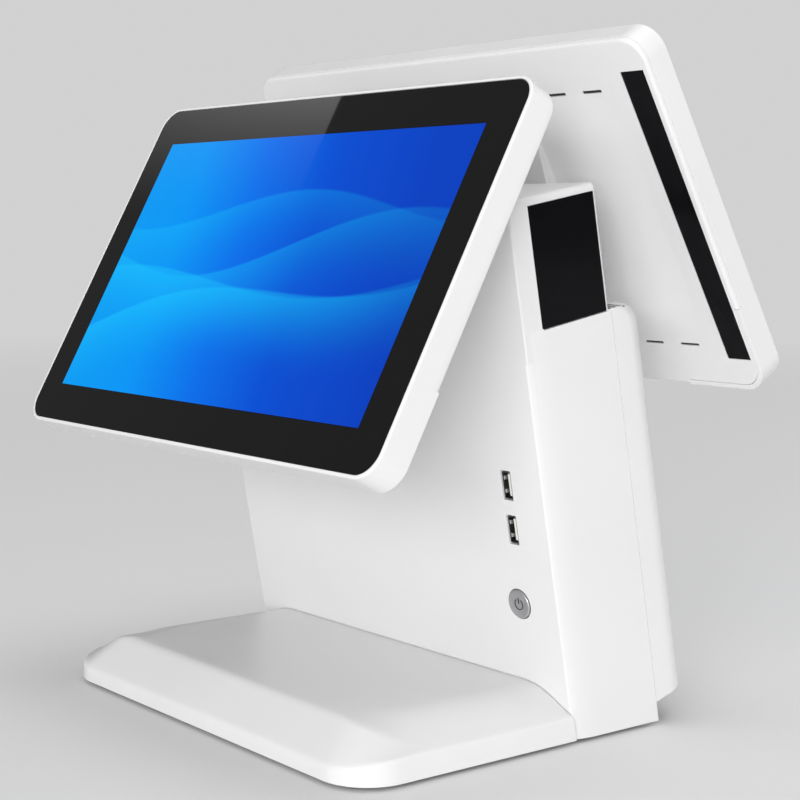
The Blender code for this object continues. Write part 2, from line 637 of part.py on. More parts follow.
def build_front_board(column):
    low = (PORT_X - 0.0095, FRONT_BOARD_DEPTH, BUTTON_HEIGHT - 0.0100)
    high = (PORT_X + 0.0150, FRONT_BOARD_DEPTH + BOARD_THICKNESS, USB_HEIGHTS[0] + 0.0110)
    add_part("front_board", box_mesh("front_board", low, high), "circuit_board", column)


def build_power_button(column, button):
    """The cap's own origin is the middle of the column's front face at the button."""
    profile = (  # radius, depth
        (0.0, -BUTTON_PROUD),
        (BUTTON_RADIUS - 0.0007, -BUTTON_PROUD),
        (BUTTON_RADIUS - 0.0002, -BUTTON_PROUD + 0.0002),
        (BUTTON_RADIUS, -BUTTON_PROUD + 0.0007),
        (BUTTON_RADIUS, 0.0026),
        (0.0025, 0.0026),
        (0.0025, 0.0082),
        (0.0, 0.0082),
    )
    add_part("power_button_cap", turned_mesh("power_button_cap", profile, 32), "button_metal", button)
    place = Vector((BUTTON_X, 0.0, BUTTON_HEIGHT))
    rings = [circle(GUIDE_RADIUS, steps=24), circle(0.0029)]
    guide = plate_mesh("power_button_guide", rings, 0.0054, 0.0070, "XZ")
    guide = add_part("power_button_guide", guide, "matte_black", column, place)
    wall = [circle(GUIDE_RADIUS, steps=24), circle(BUTTON_RADIUS + 0.0005, steps=24)]
    join(guide, plate_mesh("guide_wall", wall, WALL + GAP, 0.0056, "XZ"))
    switch = centred_box_mesh("power_switch", (0, 0.0124, 0), (0.0060, 0.0030, 0.0060))
    switch = add_part("power_switch", switch, "matte_black", column, place)
    join(switch, rod_mesh("plunger", 0.0016, 0.0096, 0.0115, (0, 0), "Y", 12))


def turned_mesh(name, profile, steps):
    """A solid turned about Y from points (radius, depth) that run from its front to its back."""
    bm = bmesh.new()
    rings = []
    for radius, depth in profile:
        places = circle(radius, steps=steps) if radius else [(0.0, 0.0)]
        rings.append([bm.verts.new((across, depth, up)) for across, up in places])
    for first, second in zip(rings, rings[1:]):
        for i in range(steps):
            following = (i + 1) % steps
            corners = [first[i % len(first)], first[following % len(first)]]
            corners += [second[following % len(second)], second[i % len(second)]]
            bm.faces.new(list(dict.fromkeys(corners)))
    return mesh_from(bm, name)


def build_button_spring(column):
    """A coil round the cap's stem, on the guide."""
    turns, steps, low, high = 2.5, 12, 0.0032, 0.0048
    curve = bpy.data.curves.new("power_button_spring", "CURVE")
    curve.dimensions = "3D"
    curve.bevel_depth = SPRING_WIRE
    curve.bevel_resolution = 1
    curve.use_fill_caps = True
    count = int(turns * steps) + 1
    spline = curve.splines.new("POLY")
    spline.points.add(count - 1)
    for i, point in enumerate(spline.points):
        angle = 2 * math.pi * i / steps
        depth = low + (high - low) * i / (count - 1)
        point.co = (SPRING_RADIUS * math.cos(angle), depth, SPRING_RADIUS * math.sin(angle), 1)
    spring = bpy.data.objects.new("power_button_spring", curve)
    bpy.data.collections[PARTS].objects.link(spring)
    spring.parent = column
    spring.location = (BUTTON_X, 0.0, BUTTON_HEIGHT)
    curve.materials.append(make_finish("power_button_spring", "steel"))


# ---------------------------------------------------------------- displays


def raised_height(x, z, rise):
    """The back cover's soft raised middle, flat on top and falling to nothing at its edges."""
    across = smooth_step((RAISED_HALF_WIDTH - abs(x)) / FALL_ACROSS)
    up = smooth_step((RAISED_HALF_HEIGHT - abs(z)) / FALL_UP)
    return rise * across * up


def raised_mesh(name, rise, front, inset):
    """A closed cushion from a flat front to the raised middle's surface."""
    across = spread(RAISED_HALF_WIDTH - inset, FALL_ACROSS, 5)
    up = spread(RAISED_HALF_HEIGHT - inset, FALL_UP, 4)
    sunk = 0.0001  # keeps the cushion's edge under the margin's face
    back = BACK_MARGIN_DEPTH - inset - sunk
    bm = bmesh.new()
    skin = [[bm.verts.new((x, back + raised_height(x, z, rise + sunk), z)) for x in across] for z in up]
    floor = [[bm.verts.new((x, front, z)) for x in across] for z in up]
    for row in range(len(up) - 1):
        for column in range(len(across) - 1):
            for grid in (skin, floor):
                near, far = grid[row], grid[row + 1]
                bm.faces.new((near[column], near[column + 1], far[column + 1], far[column]))
    edge = boundary_path(len(up), len(across))
    for (row, column), (next_row, next_column) in zip(edge, edge[1:] + edge[:1]):
        corners = (skin[row][column], skin[next_row][next_column])
        bm.faces.new((*corners, floor[next_row][next_column], floor[row][column]))
    return mesh_from(bm, name)


def spread(half, fall, steps):
    """Places from -half to half, close together where the surface falls and far apart between."""
    right = [half - fall * i / steps for i in range(steps + 1)]
    return sorted([-place for place in right] + right)


def boundary_path(rows, columns):
    path = [(0, column) for column in range(columns)]
    path += [(row, columns - 1) for row in range(1, rows)]
    path += [(rows - 1, column) for column in range(columns - 2, -1, -1)]
    path += [(row, 0) for row in range(rows - 2, 0, -1)]
    return path


def build_display(prefix, axis, offset):
    """One display, offset from the joint axis that carries it."""
    glass_half_width, glass_half_height = FRAME_HALF_WIDTH - LIP, FRAME_HALF_HEIGHT - LIP
    build_display_frame(prefix, axis, offset, glass_half_width, glass_half_height)
    glass = round_all(glass_half_width - GAP, glass_half_height - GAP, FRAME_CORNER - LIP - GAP)
    mesh = plate_mesh(f"{prefix}_glass", [glass], 0.0, GLASS_THICKNESS, "XZ")
    add_part(f"{prefix}_glass", mesh, "screen_glass", axis, offset)
    low = (-ACTIVE_WIDTH / 2 - 0.0055, GLASS_THICKNESS + GAP, -ACTIVE_DROP - ACTIVE_HEIGHT / 2 - 0.0057)
    high = (ACTIVE_WIDTH / 2 + 0.0055, LCD_DEPTH, -ACTIVE_DROP + ACTIVE_HEIGHT / 2 + 0.0058)
    add_part(f"{prefix}_lcd", box_mesh(f"{prefix}_lcd", low, high), "lcd", axis, offset)
    board = box_mesh(f"{prefix}_board", (-0.0500, 0.0095, -0.0550), (0.0450, 0.0111, -0.0050))
    add_part(f"{prefix}_board", board, "circuit_board", axis, offset)
    build_back_cover(prefix, axis, offset)
    build_strips(prefix, axis, offset)


def build_display_frame(prefix, axis, offset, glass_half_width, glass_half_height):
    """A ring round the glass, with two deeper walls that guard the display's lower corners."""
    outer = round_all(FRAME_HALF_WIDTH, FRAME_HALF_HEIGHT, FRAME_CORNER)
    inner_half_width, inner_half_height = FRAME_HALF_WIDTH - FRAME_RING, FRAME_HALF_HEIGHT - FRAME_RING
    inner = round_all(inner_half_width, inner_half_height, FRAME_CORNER - FRAME_RING)
    mesh = plate_mesh(f"{prefix}_frame", [outer, inner], 0.0, BACK_MARGIN_DEPTH, "XZ")
    frame = add_part(f"{prefix}_frame", mesh, "white_shell", axis, offset)
    behind = back_outline(-0.0050, 0.0)
    cut(frame, upright_plate_mesh("behind_ring", behind, FRAME_DEPTH, BACK_MARGIN_DEPTH + 0.0050))
    recess = round_all(glass_half_width, glass_half_height, FRAME_CORNER - LIP)
    cut(frame, upright_plate_mesh("glass_recess", recess, -0.0020, GLASS_THICKNESS + GAP))


def back_outline(inset, clearance):
    """Round the display's back, moved in from the frame's face by inset, and inside the two guards."""
    half_width, half_height = FRAME_HALF_WIDTH - inset, FRAME_HALF_HEIGHT - inset
    steps = 5
    upper = round_all(half_width, half_height, FRAME_CORNER - inset, steps)[: steps + 1]
    guard = GUARD_THICKNESS + clearance
    inner_half_width, inner_half_height = FRAME_HALF_WIDTH - guard, FRAME_HALF_HEIGHT - guard
    lower = round_all(inner_half_width, inner_half_height, FRAME_CORNER - guard, steps)[-steps - 1 :]
    top, middle = GUARD_TOP + clearance, GUARD_INNER_X - clearance
    right = [(middle, -half_height), (middle, -inner_half_height)] + lower
    right += [(inner_half_width, top), (half_width, top)] + upper
    return right + [(-x, z) for x, z in reversed(right)]


def build_back_cover(prefix, axis, offset):
    name = f"{prefix}_back_cover"
    outline = back_outline(BACK_INSET, GAP)
    mesh = upright_plate_mesh(name, outline, FRAME_DEPTH + GAP, BACK_MARGIN_DEPTH)
    cover = add_part(name, mesh, "white_shell", axis, offset)
    join(cover, raised_mesh("raised_middle", BACK_RISE, FRAME_DEPTH + 0.0012, 0.0))
    cut(cover, raised_mesh("raised_hollow", BACK_RISE, FRAME_DEPTH - 0.0020, BACK_WALL))
    for side in (-1, 1):
        cut_vents(cover, side)
        low = (side * STRIP_X - STRIP_WIDTH / 2 - GAP, BACK_MARGIN_DEPTH - STRIP_THICKNESS - GAP)
        high = (side * STRIP_X + STRIP_WIDTH / 2 + GAP, BACK_MARGIN_DEPTH + 0.0010)
        cut(cover, box_mesh("strip_recess", (*low, STRIP_LOW - GAP), (*high, STRIP_HIGH + GAP)))


def cut_vents(cover, side):
    for upper in (-1, 1):
        for number in range(VENTS_PER_SIDE):
            x = side * (VENT_X + VENT_PITCH * number)
            centre = (x, BACK_MARGIN_DEPTH, upper * VENT_Z)
            cut(cover, centred_box_mesh("vent", centre, (VENT_LENGTH, 0.0080, VENT_WIDTH)))


def build_strips(prefix, axis, offset):
    for side, name in ((-1, f"{prefix}_strip_left"), (1, f"{prefix}_strip_right")):
        low = (side * STRIP_X - STRIP_WIDTH / 2, BACK_MARGIN_DEPTH - STRIP_THICKNESS, STRIP_LOW)
        high = (side * STRIP_X + STRIP_WIDTH / 2, BACK_MARGIN_DEPTH + 0.0001, STRIP_HIGH)
        add_part(name, box_mesh(name, low, high), "gloss_black", axis, offset)


# ---------------------------------------------------------------- hinges


def build_hinge_bracket(name, column, axis_depth, axis_height, plate_depth):
    """Two arms from a plate inside the neck to the joint axis."""
    low = (-ARM_OUTER_X - 0.0060, plate_depth, axis_height - 0.0120)
    high = (ARM_OUTER_X + 0.0060, plate_depth + 0.0020, axis_height + 0.0120)
    bracket = add_part(name, box_mesh(name, low, high), "steel", column)
    join_arms(bracket, ARM_INNER_X, ARM_OUTER_X, (axis_depth, axis_height), plate_depth + 0.0010)


def join_arms(part, inner_x, outer_x, centre, plate):
    """Adds a left and a right arm that run from a plate's depth to a knuckle round the joint axis."""
    away = 1 if centre[0] > plate else -1
    quarter_steps = 5
    outline = [
        (
            centre[0] + away * KNUCKLE_RADIUS * math.cos(math.pi / 2 * step / quarter_steps),
            centre[1] + KNUCKLE_RADIUS * math.sin(math.pi / 2 * step / quarter_steps),
        )
        for step in range(-quarter_steps, quarter_steps + 1)
    ]
    outline += [(plate, centre[1] + KNUCKLE_RADIUS), (plate, centre[1] - KNUCKLE_RADIUS)]
    bore = circle(BORE_RADIUS, centre, 20)
    for side in (-1, 1):
        first, second = sorted((side * inner_x, side * outer_x))
        join(part, plate_mesh("arm", [outline, bore], first, second, "YZ"))


def build_shaft(name, column, axis_depth, axis_height):
    centre = (axis_depth, axis_height)
    mesh = rod_mesh(name, SHAFT_RADIUS, -SHAFT_HALF_LENGTH, SHAFT_HALF_LENGTH, centre, "X", 20)
    add_part(name, mesh, "steel", column)


def build_washers(prefix, column, axis_depth, axis_height):
    centre = (axis_depth, axis_height)
    rings = [circle(WASHER_RADIUS, centre), circle(BORE_RADIUS, centre)]
    for side, name in ((-1, f"{prefix}_washer_left"), (1, f"{prefix}_washer_right")):
        first, second = sorted((side * WASHER_INNER_X, side * WASHER_OUTER_X))
        add_part(name, plate_mesh(name, rings, first, second, "YZ"), "matte_black", column)


def build_leaf(name, axis, offset):
    """The moving half of a hinge: a plate on the display's back and two knuckles on the axis."""
    back = BACK_MARGIN_DEPTH + BACK_RISE + GAP
    axis_depth, axis_up = -offset[1], -offset[2]
    low = (-0.0560, back, axis_up - 0.0180)
    high = (0.0560, back + LEAF_THICKNESS, axis_up + 0.0130)
    leaf = add_part(name, box_mesh(name, low, high), "steel", axis, offset)
    join_arms(leaf, LEAF_INNER_X, LEAF_OUTER_X, (axis_depth, axis_up), back + LEAF_THICKNESS / 2)


def build_customer_hinge_cover(axis, offset):
    """A hollow wedge over the leaf, thick beside the axis and running out to nothing above it."""
    back = BACK_MARGIN_DEPTH + BACK_RISE
    axis_up = -offset[2]
    outer = [(back + 0.0005, 0.0560), (back + 0.0018, 0.0560), (back + 0.0110, 0.0060)]
    outer += [(back + 0.0105, 0.0010), (back + 0.0080, -0.0050), (back + 0.0005, -0.0120)]
    name = "customer_hinge_cover"
    width = HINGE_COVER_HALF_WIDTH
    mesh = plate_mesh(name, [outer], -width, width, "YZ")
    cover = add_part(name, mesh, "white_shell", axis, offset)
    inner = [(back - 0.0050, 0.0440), (back + 0.0023, 0.0440), (back + 0.0088, 0.0070)]
    inner += [(back + 0.0080, 0.0010), (back + 0.0055, -0.0040), (back - 0.0050, -0.0090)]
    cut(cover, plate_mesh("cover_hollow", [inner], -width + BACK_WALL, width - BACK_WALL, "YZ"))
    middle = (LEAF_INNER_X + LEAF_OUTER_X) / 2
    slot = (LEAF_OUTER_X - LEAF_INNER_X + 0.0010, 0.0300, 2 * KNUCKLE_RADIUS + 0.0010)
    for side in (-1, 1):
        cut(cover, centred_box_mesh("leaf_slot", (side * middle, back + 0.0150, axis_up), slot))


# ---------------------------------------------------------------- assembly


def column_to_base(depth, height):
    """Where a point in the column's leaning axes lies in the base's axes, as (y, z)."""
    y = COLUMN_FRONT_Y + depth * math.cos(LEAN) - height * math.sin(LEAN)
    return y, depth * math.sin(LEAN) + height * math.cos(LEAN)


def display_offset(axis_point, centre, tilt, facing):
    """The display's centre seen from its joint axis, in the display's own axes.
    facing is -1 for a display that looks along -Y and 1 for one that looks along +Y."""
    across, up = centre[0] - axis_point[0], centre[1] - axis_point[1]
    depth = -facing * across * math.cos(tilt) - up * math.sin(tilt)
    height = -facing * across * math.sin(tilt) + up * math.cos(tilt)
    return (0.0, depth, height)


def build_terminal():
    clear_scene()
    add_collection(PARTS)
    add_collection(CUTTERS).hide_render = True
    base = add_empty("base_axes", (0, Y_TO_BOX_CENTRE, GROUND_GAP))
    column = add_empty("column_axes", (0, COLUMN_FRONT_Y, 0), tilt=LEAN, parent=base)

    build_foot(base)
    build_base_plate(base)
    build_pads(base)
    build_base_screws(base)
    build_ballast(base)
    build_speaker(base)

    build_column_shell(column, base)
    build_side_panels(column)
    build_rear_cover(column)
    build_vent_grille(column)
    build_chassis(column, base)
    build_io_panel(column, base)
    build_rear_ports(column)
    build_mainboard(column)
    build_usb_sockets(column)
    build_front_board(column)
    button = add_empty("power_button_axis", (BUTTON_X, 0, BUTTON_HEIGHT), parent=column)
    build_power_button(column, button)
    build_button_spring(column)

    front_point = column_to_base(FRONT_AXIS_DEPTH, FRONT_AXIS_HEIGHT)
    front_axis = add_empty("front_display_axis", (0, *front_point), tilt=-FRONT_TILT, parent=base)
    centre = (FRONT_CENTRE_Y, FRONT_CENTRE_Z)
    front_offset = display_offset(front_point, centre, FRONT_TILT, -1)
    build_display("front_display", front_axis, front_offset)
    build_leaf("front_hinge_leaf", front_axis, front_offset)
    build_hinge_bracket("front_hinge_bracket", column, FRONT_AXIS_DEPTH, FRONT_AXIS_HEIGHT, 0.0029)
    build_shaft("front_hinge_shaft", column, FRONT_AXIS_DEPTH, FRONT_AXIS_HEIGHT)
    build_washers("front_hinge", column, FRONT_AXIS_DEPTH, FRONT_AXIS_HEIGHT)

    customer_point = column_to_base(CUSTOMER_AXIS_DEPTH, CUSTOMER_AXIS_HEIGHT)
    customer_axis = add_empty(
        "customer_display_axis", (0, *customer_point), tilt=CUSTOMER_TILT, turn=math.pi, parent=base
    )
    centre = (CUSTOMER_CENTRE_Y, CUSTOMER_CENTRE_Z)
    customer_offset = display_offset(customer_point, centre, CUSTOMER_TILT, 1)
    build_display("customer_display", customer_axis, customer_offset)
    build_leaf("customer_hinge_leaf", customer_axis, customer_offset)
    build_customer_hinge_cover(customer_axis, customer_offset)
    build_hinge_bracket("customer_hinge_bracket", column, CUSTOMER_AXIS_DEPTH, CUSTOMER_AXIS_HEIGHT, 0.0491)
    build_shaft("customer_hinge_shaft", column, CUSTOMER_AXIS_DEPTH, CUSTOMER_AXIS_HEIGHT)
    build_washers("customer_hinge", column, CUSTOMER_AXIS_DEPTH, CUSTOMER_AXIS_HEIGHT)
    bpy.context.view_layer.update()


build_terminal()
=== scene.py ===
"""The looks of a dual-screen point-of-sale terminal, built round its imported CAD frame."""

import json
import math

import bmesh
import bpy
from mathutils import Matrix, Vector


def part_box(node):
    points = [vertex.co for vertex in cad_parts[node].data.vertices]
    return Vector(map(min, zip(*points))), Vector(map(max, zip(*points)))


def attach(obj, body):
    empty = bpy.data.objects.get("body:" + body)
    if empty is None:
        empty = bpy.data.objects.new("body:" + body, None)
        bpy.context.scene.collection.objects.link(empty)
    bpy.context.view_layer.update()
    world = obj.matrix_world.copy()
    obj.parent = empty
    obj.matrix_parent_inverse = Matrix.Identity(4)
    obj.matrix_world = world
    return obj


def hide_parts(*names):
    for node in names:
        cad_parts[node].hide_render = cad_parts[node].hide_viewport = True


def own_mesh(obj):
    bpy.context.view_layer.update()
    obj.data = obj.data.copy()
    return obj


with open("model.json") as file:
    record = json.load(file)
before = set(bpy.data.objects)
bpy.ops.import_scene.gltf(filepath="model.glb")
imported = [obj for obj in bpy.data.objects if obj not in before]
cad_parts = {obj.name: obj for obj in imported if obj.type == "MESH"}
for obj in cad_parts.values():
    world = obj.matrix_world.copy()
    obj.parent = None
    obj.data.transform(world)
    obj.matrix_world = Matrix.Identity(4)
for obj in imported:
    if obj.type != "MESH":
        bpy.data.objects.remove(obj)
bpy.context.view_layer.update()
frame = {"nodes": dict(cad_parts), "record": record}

MM = 0.001
SHARP_ANGLE = 32  # edges that bend by more degrees than this stay sharp

# Angles of the column and of both displays at rest
LEAN = math.radians(10.92)
FRONT_TILT = math.radians(28.2)
CUSTOMER_TILT = math.radians(30.93)

# The camera stands at the operator's right
CAMERA_PLACE = (0.6825, -0.5420, 0.2354)
CAMERA_YAW, CAMERA_PITCH, CAMERA_ROLL = 51.21, 5.48, -0.47
CAMERA_LENS = 77.1

# The room's brightness as light, in reflections and as a backdrop, and the reflected card's power
ROOM_LIGHT, ROOM_IN_GLOSS, BACKDROP = 0.50, 0.14, 0.64
CARD_POWER = 0.72


# ---------------------------------------------------------------- places, worked out from the frame


def mm(*values):
    return tuple(value * MM for value in values)


def node_centre(node):
    low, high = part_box(node)
    return (low + high) / 2


def leaning(angle, turn=0.0):
    return (Matrix.Rotation(angle, 3, "X") @ Matrix.Rotation(turn, 3, "Z")).to_4x4()


def axes_through(node, local_centre, rotation):
    """The matrix of axes turned by rotation in which a CAD node's middle has these coordinates."""
    origin = node_centre(node) - rotation.to_3x3() @ Vector(local_centre)
    return Matrix.Translation(origin) @ rotation


PANEL_CENTRE = (0.1257, 0.03225, 0.2213)
GLASS_CENTRE = (0, 0.9 * MM, 0)
COLUMN = axes_through("side_panel_right", PANEL_CENTRE, leaning(LEAN))
FRONT = axes_through("front_display_glass", GLASS_CENTRE, leaning(-FRONT_TILT))
CUSTOMER = axes_through("customer_display_glass", GLASS_CENTRE, leaning(CUSTOMER_TILT, math.pi))
COLUMN.translation.x = FRONT.translation.x = CUSTOMER.translation.x = 0.0
BASE = Matrix.Translation((0, -0.0843, 0.0018))

# Body sizes
BODY_HALF_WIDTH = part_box("foot_shell")[1].x
NECK_HALF_WIDTH = BODY_HALF_WIDTH - 1.0 * MM
WALL = 2.5 * MM
SIDE_DEPTH = 54.5 * MM
BODY_DEPTH = 79.0 * MM
BODY_LOW = -15.0 * MM
GAP = 0.3 * MM
SEAM = SIDE_DEPTH + GAP
RIM = 194.0 * MM
TOP_CORNER = 11.0 * MM
OPENING_HALF, OPENING_REAR = mm(126.2, 65.2)
NECK_DEPTH = 54.0 * MM
NECK_TOP = 253.0 * MM
INLAY_FRONT, INLAY_REAR = mm(11.9, 52.6)
INLAY_LOW, INLAY_HIGH = mm(193.6, 249.0)
HINGE_HEIGHT, HINGE_SLOT_X = mm(237.0, 36.0)
PORT_X = 101.5 * MM
USB_HEIGHTS = mm(121.1, 99.5)
BUTTON_X, BUTTON_HEIGHT, BUTTON_RADIUS = mm(99.6, 62.6, 7.1)
BUTTON = COLUMN @ Matrix.Translation((BUTTON_X, 0, BUTTON_HEIGHT))

# Foot sizes, from the middle of its plan
FOOT_FRONT, FOOT_CORNER, FOOT_GAP = mm(-33.0, 24.0, 0.15)
COLUMN_FRONT = 96.0 * MM  # where the column's face would meet the floor

# Display sizes
FRAME_HALF = mm(149.7, 94.4)
FRAME_CORNER = 13.0 * MM
ACTIVE_HALF = mm(128.05, 72.0)
ACTIVE_DROP = 0.8 * MM
FRAME_DEPTH = 12.6 * MM
BACK_DEPTH = 15.3 * MM
BACK_RISE = 4.7 * MM
BACK_INSET = 0.3 * MM
RAISED_HALF = mm(125.0, 72.0)
RAISED_FALL = mm(45.0, 26.0)
GUARD_THICKNESS, GUARD_TOP, GUARD_INNER_X = mm(2.6, -48.0, 100.0)
STRIP_X, STRIP_WIDTH, STRIP_THICKNESS = mm(138.9, 13.5, 1.2)
STRIP_LOW, STRIP_HIGH = mm(-76.4, 78.0)
VENT_X, VENT_PITCH, VENT_Z = mm(15.9, 23.5, 69.7)
VENT_LENGTH, VENT_WIDTH = mm(12.4, 1.6)
VENTS_PER_SIDE = 5

LOOKS = {}  # each material slot's detailed material, and a few more by name


# ---------------------------------------------------------------- mesh helpers


def new_object(name, data):
    made = bpy.data.objects.new(name, data)
    bpy.context.scene.collection.objects.link(made)
    return made


def mesh_from(bm, sharp=SHARP_ANGLE):
    bmesh.ops.remove_doubles(bm, verts=bm.verts, dist=1e-7)
    bmesh.ops.recalc_face_normals(bm, faces=bm.faces)
    if bm.calc_volume(signed=True) < 0:
        bmesh.ops.reverse_faces(bm, faces=bm.faces)
    mesh = bpy.data.meshes.new("mesh")
    bm.to_mesh(mesh)
    bm.free()
    mesh.shade_smooth()
    mesh.set_sharp_from_angle(angle=math.radians(sharp))
    return mesh


def skin(bm, rings, closed=False):
    """Joins rings of as many points each into a surface; closed also joins the last to the first."""
    rows = [[bm.verts.new(point) for point in ring] for ring in rings]
    pairs = list(zip(rows, rows[1:]))
    if closed:
        pairs.append((rows[-1], rows[0]))
    for lower, upper in pairs:
        for i in range(len(lower)):
            following = (i + 1) % len(lower)
            bm.faces.new((lower[i], lower[following], upper[following], upper[i]))
    return rows


def ring_solid(rings, closed=False):
    bm = bmesh.new()
    rows = skin(bm, rings, closed)
    if not closed:
        bm.faces.new(rows[0][::-1])
        bm.faces.new(rows[-1])
    return mesh_from(bm)


def arc(centre, radius, start, end, steps):
    """Points on an arc, angles in degrees."""
    points = []
    for i in range(steps + 1):
        angle = math.radians(start + (end - start) * i / steps)
        points.append((centre[0] + radius * math.cos(angle), centre[1] + radius * math.sin(angle)))
    return points


def quarter_angles(steps):
    return [math.pi / 2 * i / steps for i in range(steps + 1)]


def rounded_rectangle(half_width, half_height, radius, steps):
    """Points round a rectangle with its middle at the origin."""
    points = []
    signs = ((1, 1), (-1, 1), (-1, -1), (1, -1))
    for quarter, (right, up) in enumerate(signs):
        centre = (right * (half_width - radius), up * (half_height - radius))
        points += arc(centre, radius, 90 * quarter, 90 * quarter + 90, steps)
    return points


def level_ring(outline, height):
    return [(x, y, height) for x, y in outline]


def upright_ring(half, radius, inset, depth):
    """A rounded rectangle in a display's own axes, at a depth behind the glass."""
    corner = max(radius - inset, 0.4 * MM)
    outline = rounded_rectangle(half[0] - inset, half[1] - inset, corner, 18)
    return [(x, depth, z) for x, z in outline]


def box_mesh(low, high, bevel=0.0, segments=3):
    low, high = Vector(low), Vector(high)
    bm = bmesh.new()
    bmesh.ops.create_cube(bm, size=1.0)
    bmesh.ops.scale(bm, vec=high - low, verts=bm.verts)
    bmesh.ops.translate(bm, vec=(low + high) / 2, verts=bm.verts)
    if bevel:
        sizes = {"offset": bevel, "segments": segments, "profile": 0.5}
        bmesh.ops.bevel(bm, geom=bm.edges[:], affect="EDGES", clamp_overlap=True, **sizes)
    return mesh_from(bm)


def centred_box(centre, size, bevel=0.0, segments=3):
    centre, size = Vector(centre), Vector(size)
    return box_mesh(centre - size / 2, centre + size / 2, bevel, segments)


def turned_mesh(profile, centre=(0, 0, 0), steps=48):
    """A solid turned about the Y axis from points (radius, place along the axis)."""
    bm = bmesh.new()
    rings = []
    for radius, along in profile:
        count = 1 if radius == 0 else steps
        ring = []
        for i in range(count):
            angle = 2 * math.pi * i / steps
            local = Vector((radius * math.cos(angle), along, radius * math.sin(angle)))
            ring.append(bm.verts.new(local + Vector(centre)))
        rings.append(ring)
    for first, second in zip(rings, rings[1:]):
        for i in range(steps):
            following = (i + 1) % steps
            corners = [first[i % len(first)], first[following % len(first)]]
            corners += [second[following % len(second)], second[i % len(second)]]
            bm.faces.new(list(dict.fromkeys(corners)))
    return mesh_from(bm)


def plate_mesh(outlines, low, high, plane="XY"):
    """The area inside the first outline, less the others, thick from low to high."""
    curve = bpy.data.curves.new("outlines", "CURVE")
    curve.dimensions = "2D"
    curve.fill_mode = "BOTH"
    curve.extrude = (high - low) / 2
    for outline in outlines:
        spline = curve.splines.new("POLY")
        spline.points.add(len(outline) - 1)
        for point, (across, along) in zip(spline.points, outline):
            point.co = (across, along, 0, 1)
        spline.use_cyclic_u = True
    drawn = new_object("outlines", curve)
    graph = bpy.context.evaluated_depsgraph_get()
    mesh = bpy.data.meshes.new_from_object(drawn.evaluated_get(graph))
    bpy.data.objects.remove(drawn)
    bpy.data.curves.remove(curve)
    bm = bmesh.new()
    bm.from_mesh(mesh)
    bpy.data.meshes.remove(mesh)
    order = {"XY": (0, 1, 2), "XZ": (0, 2, 1), "YZ": (1, 2, 0)}[plane]
    for vert in bm.verts:
        drawn_at = (vert.co.x, vert.co.y, vert.co.z + (low + high) / 2)
        vert.co = [drawn_at[order.index(axis)] for axis in range(3)]
    bmesh.ops.remove_doubles(bm, verts=bm.verts, dist=1e-6)
    return mesh_from(bm)


def gathered(meshes):
    """One mesh made of several that don't touch."""
    bm = bmesh.new()
    for mesh in meshes:
        bm.from_mesh(mesh)
    whole = bpy.data.meshes.new("gathered")
    bm.to_mesh(whole)
    bm.free()
    return whole


def combined(mesh, others, operation):
    """The mesh with other meshes joined to it or cut out of it, all in the same axes."""
    whole = new_object("combined", mesh)
    tools = []
    for other in others:
        tool = new_object("tool", other)
        modifier = whole.modifiers.new("tool", "BOOLEAN")
        modifier.operation = operation
        modifier.object = tool
        tools.append(tool)
    bpy.context.view_layer.update()
    graph = bpy.context.evaluated_depsgraph_get()
    made = bpy.data.meshes.new_from_object(whole.evaluated_get(graph))
    made.name = mesh.name
    for item in [whole] + tools:
        bpy.data.objects.remove(item)
    made.shade_smooth()
    made.set_sharp_from_angle(angle=math.radians(SHARP_ANGLE))
    return made


def cut(mesh, *others):
    return combined(mesh, others, "DIFFERENCE")


def join(mesh, *others):
    return combined(mesh, others, "UNION")


def smooth_step(value):
    value = min(max(value, 0.0), 1.0)
    return value * value * (3 - 2 * value)


def add_piece(name, mesh, body, slot, axes, replaces=(), look=None, own_axes=False):
    """look names a material other than the slot's; own_axes leaves the axes leaning, to be drawn in."""
    piece = new_object(name, mesh)
    mesh.name = name
    mesh.materials.clear()
    mesh.materials.append(LOOKS[look or slot])
    if own_axes:
        piece.matrix_world = axes
    else:
        mesh.transform(axes)
    shading = piece.modifiers.new("flat faces stay flat", "WEIGHTED_NORMAL")
    shading.keep_sharp = True
    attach(piece, body)
    if replaces:
        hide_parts(*replaces)
    return piece


# ---------------------------------------------------------------- materials


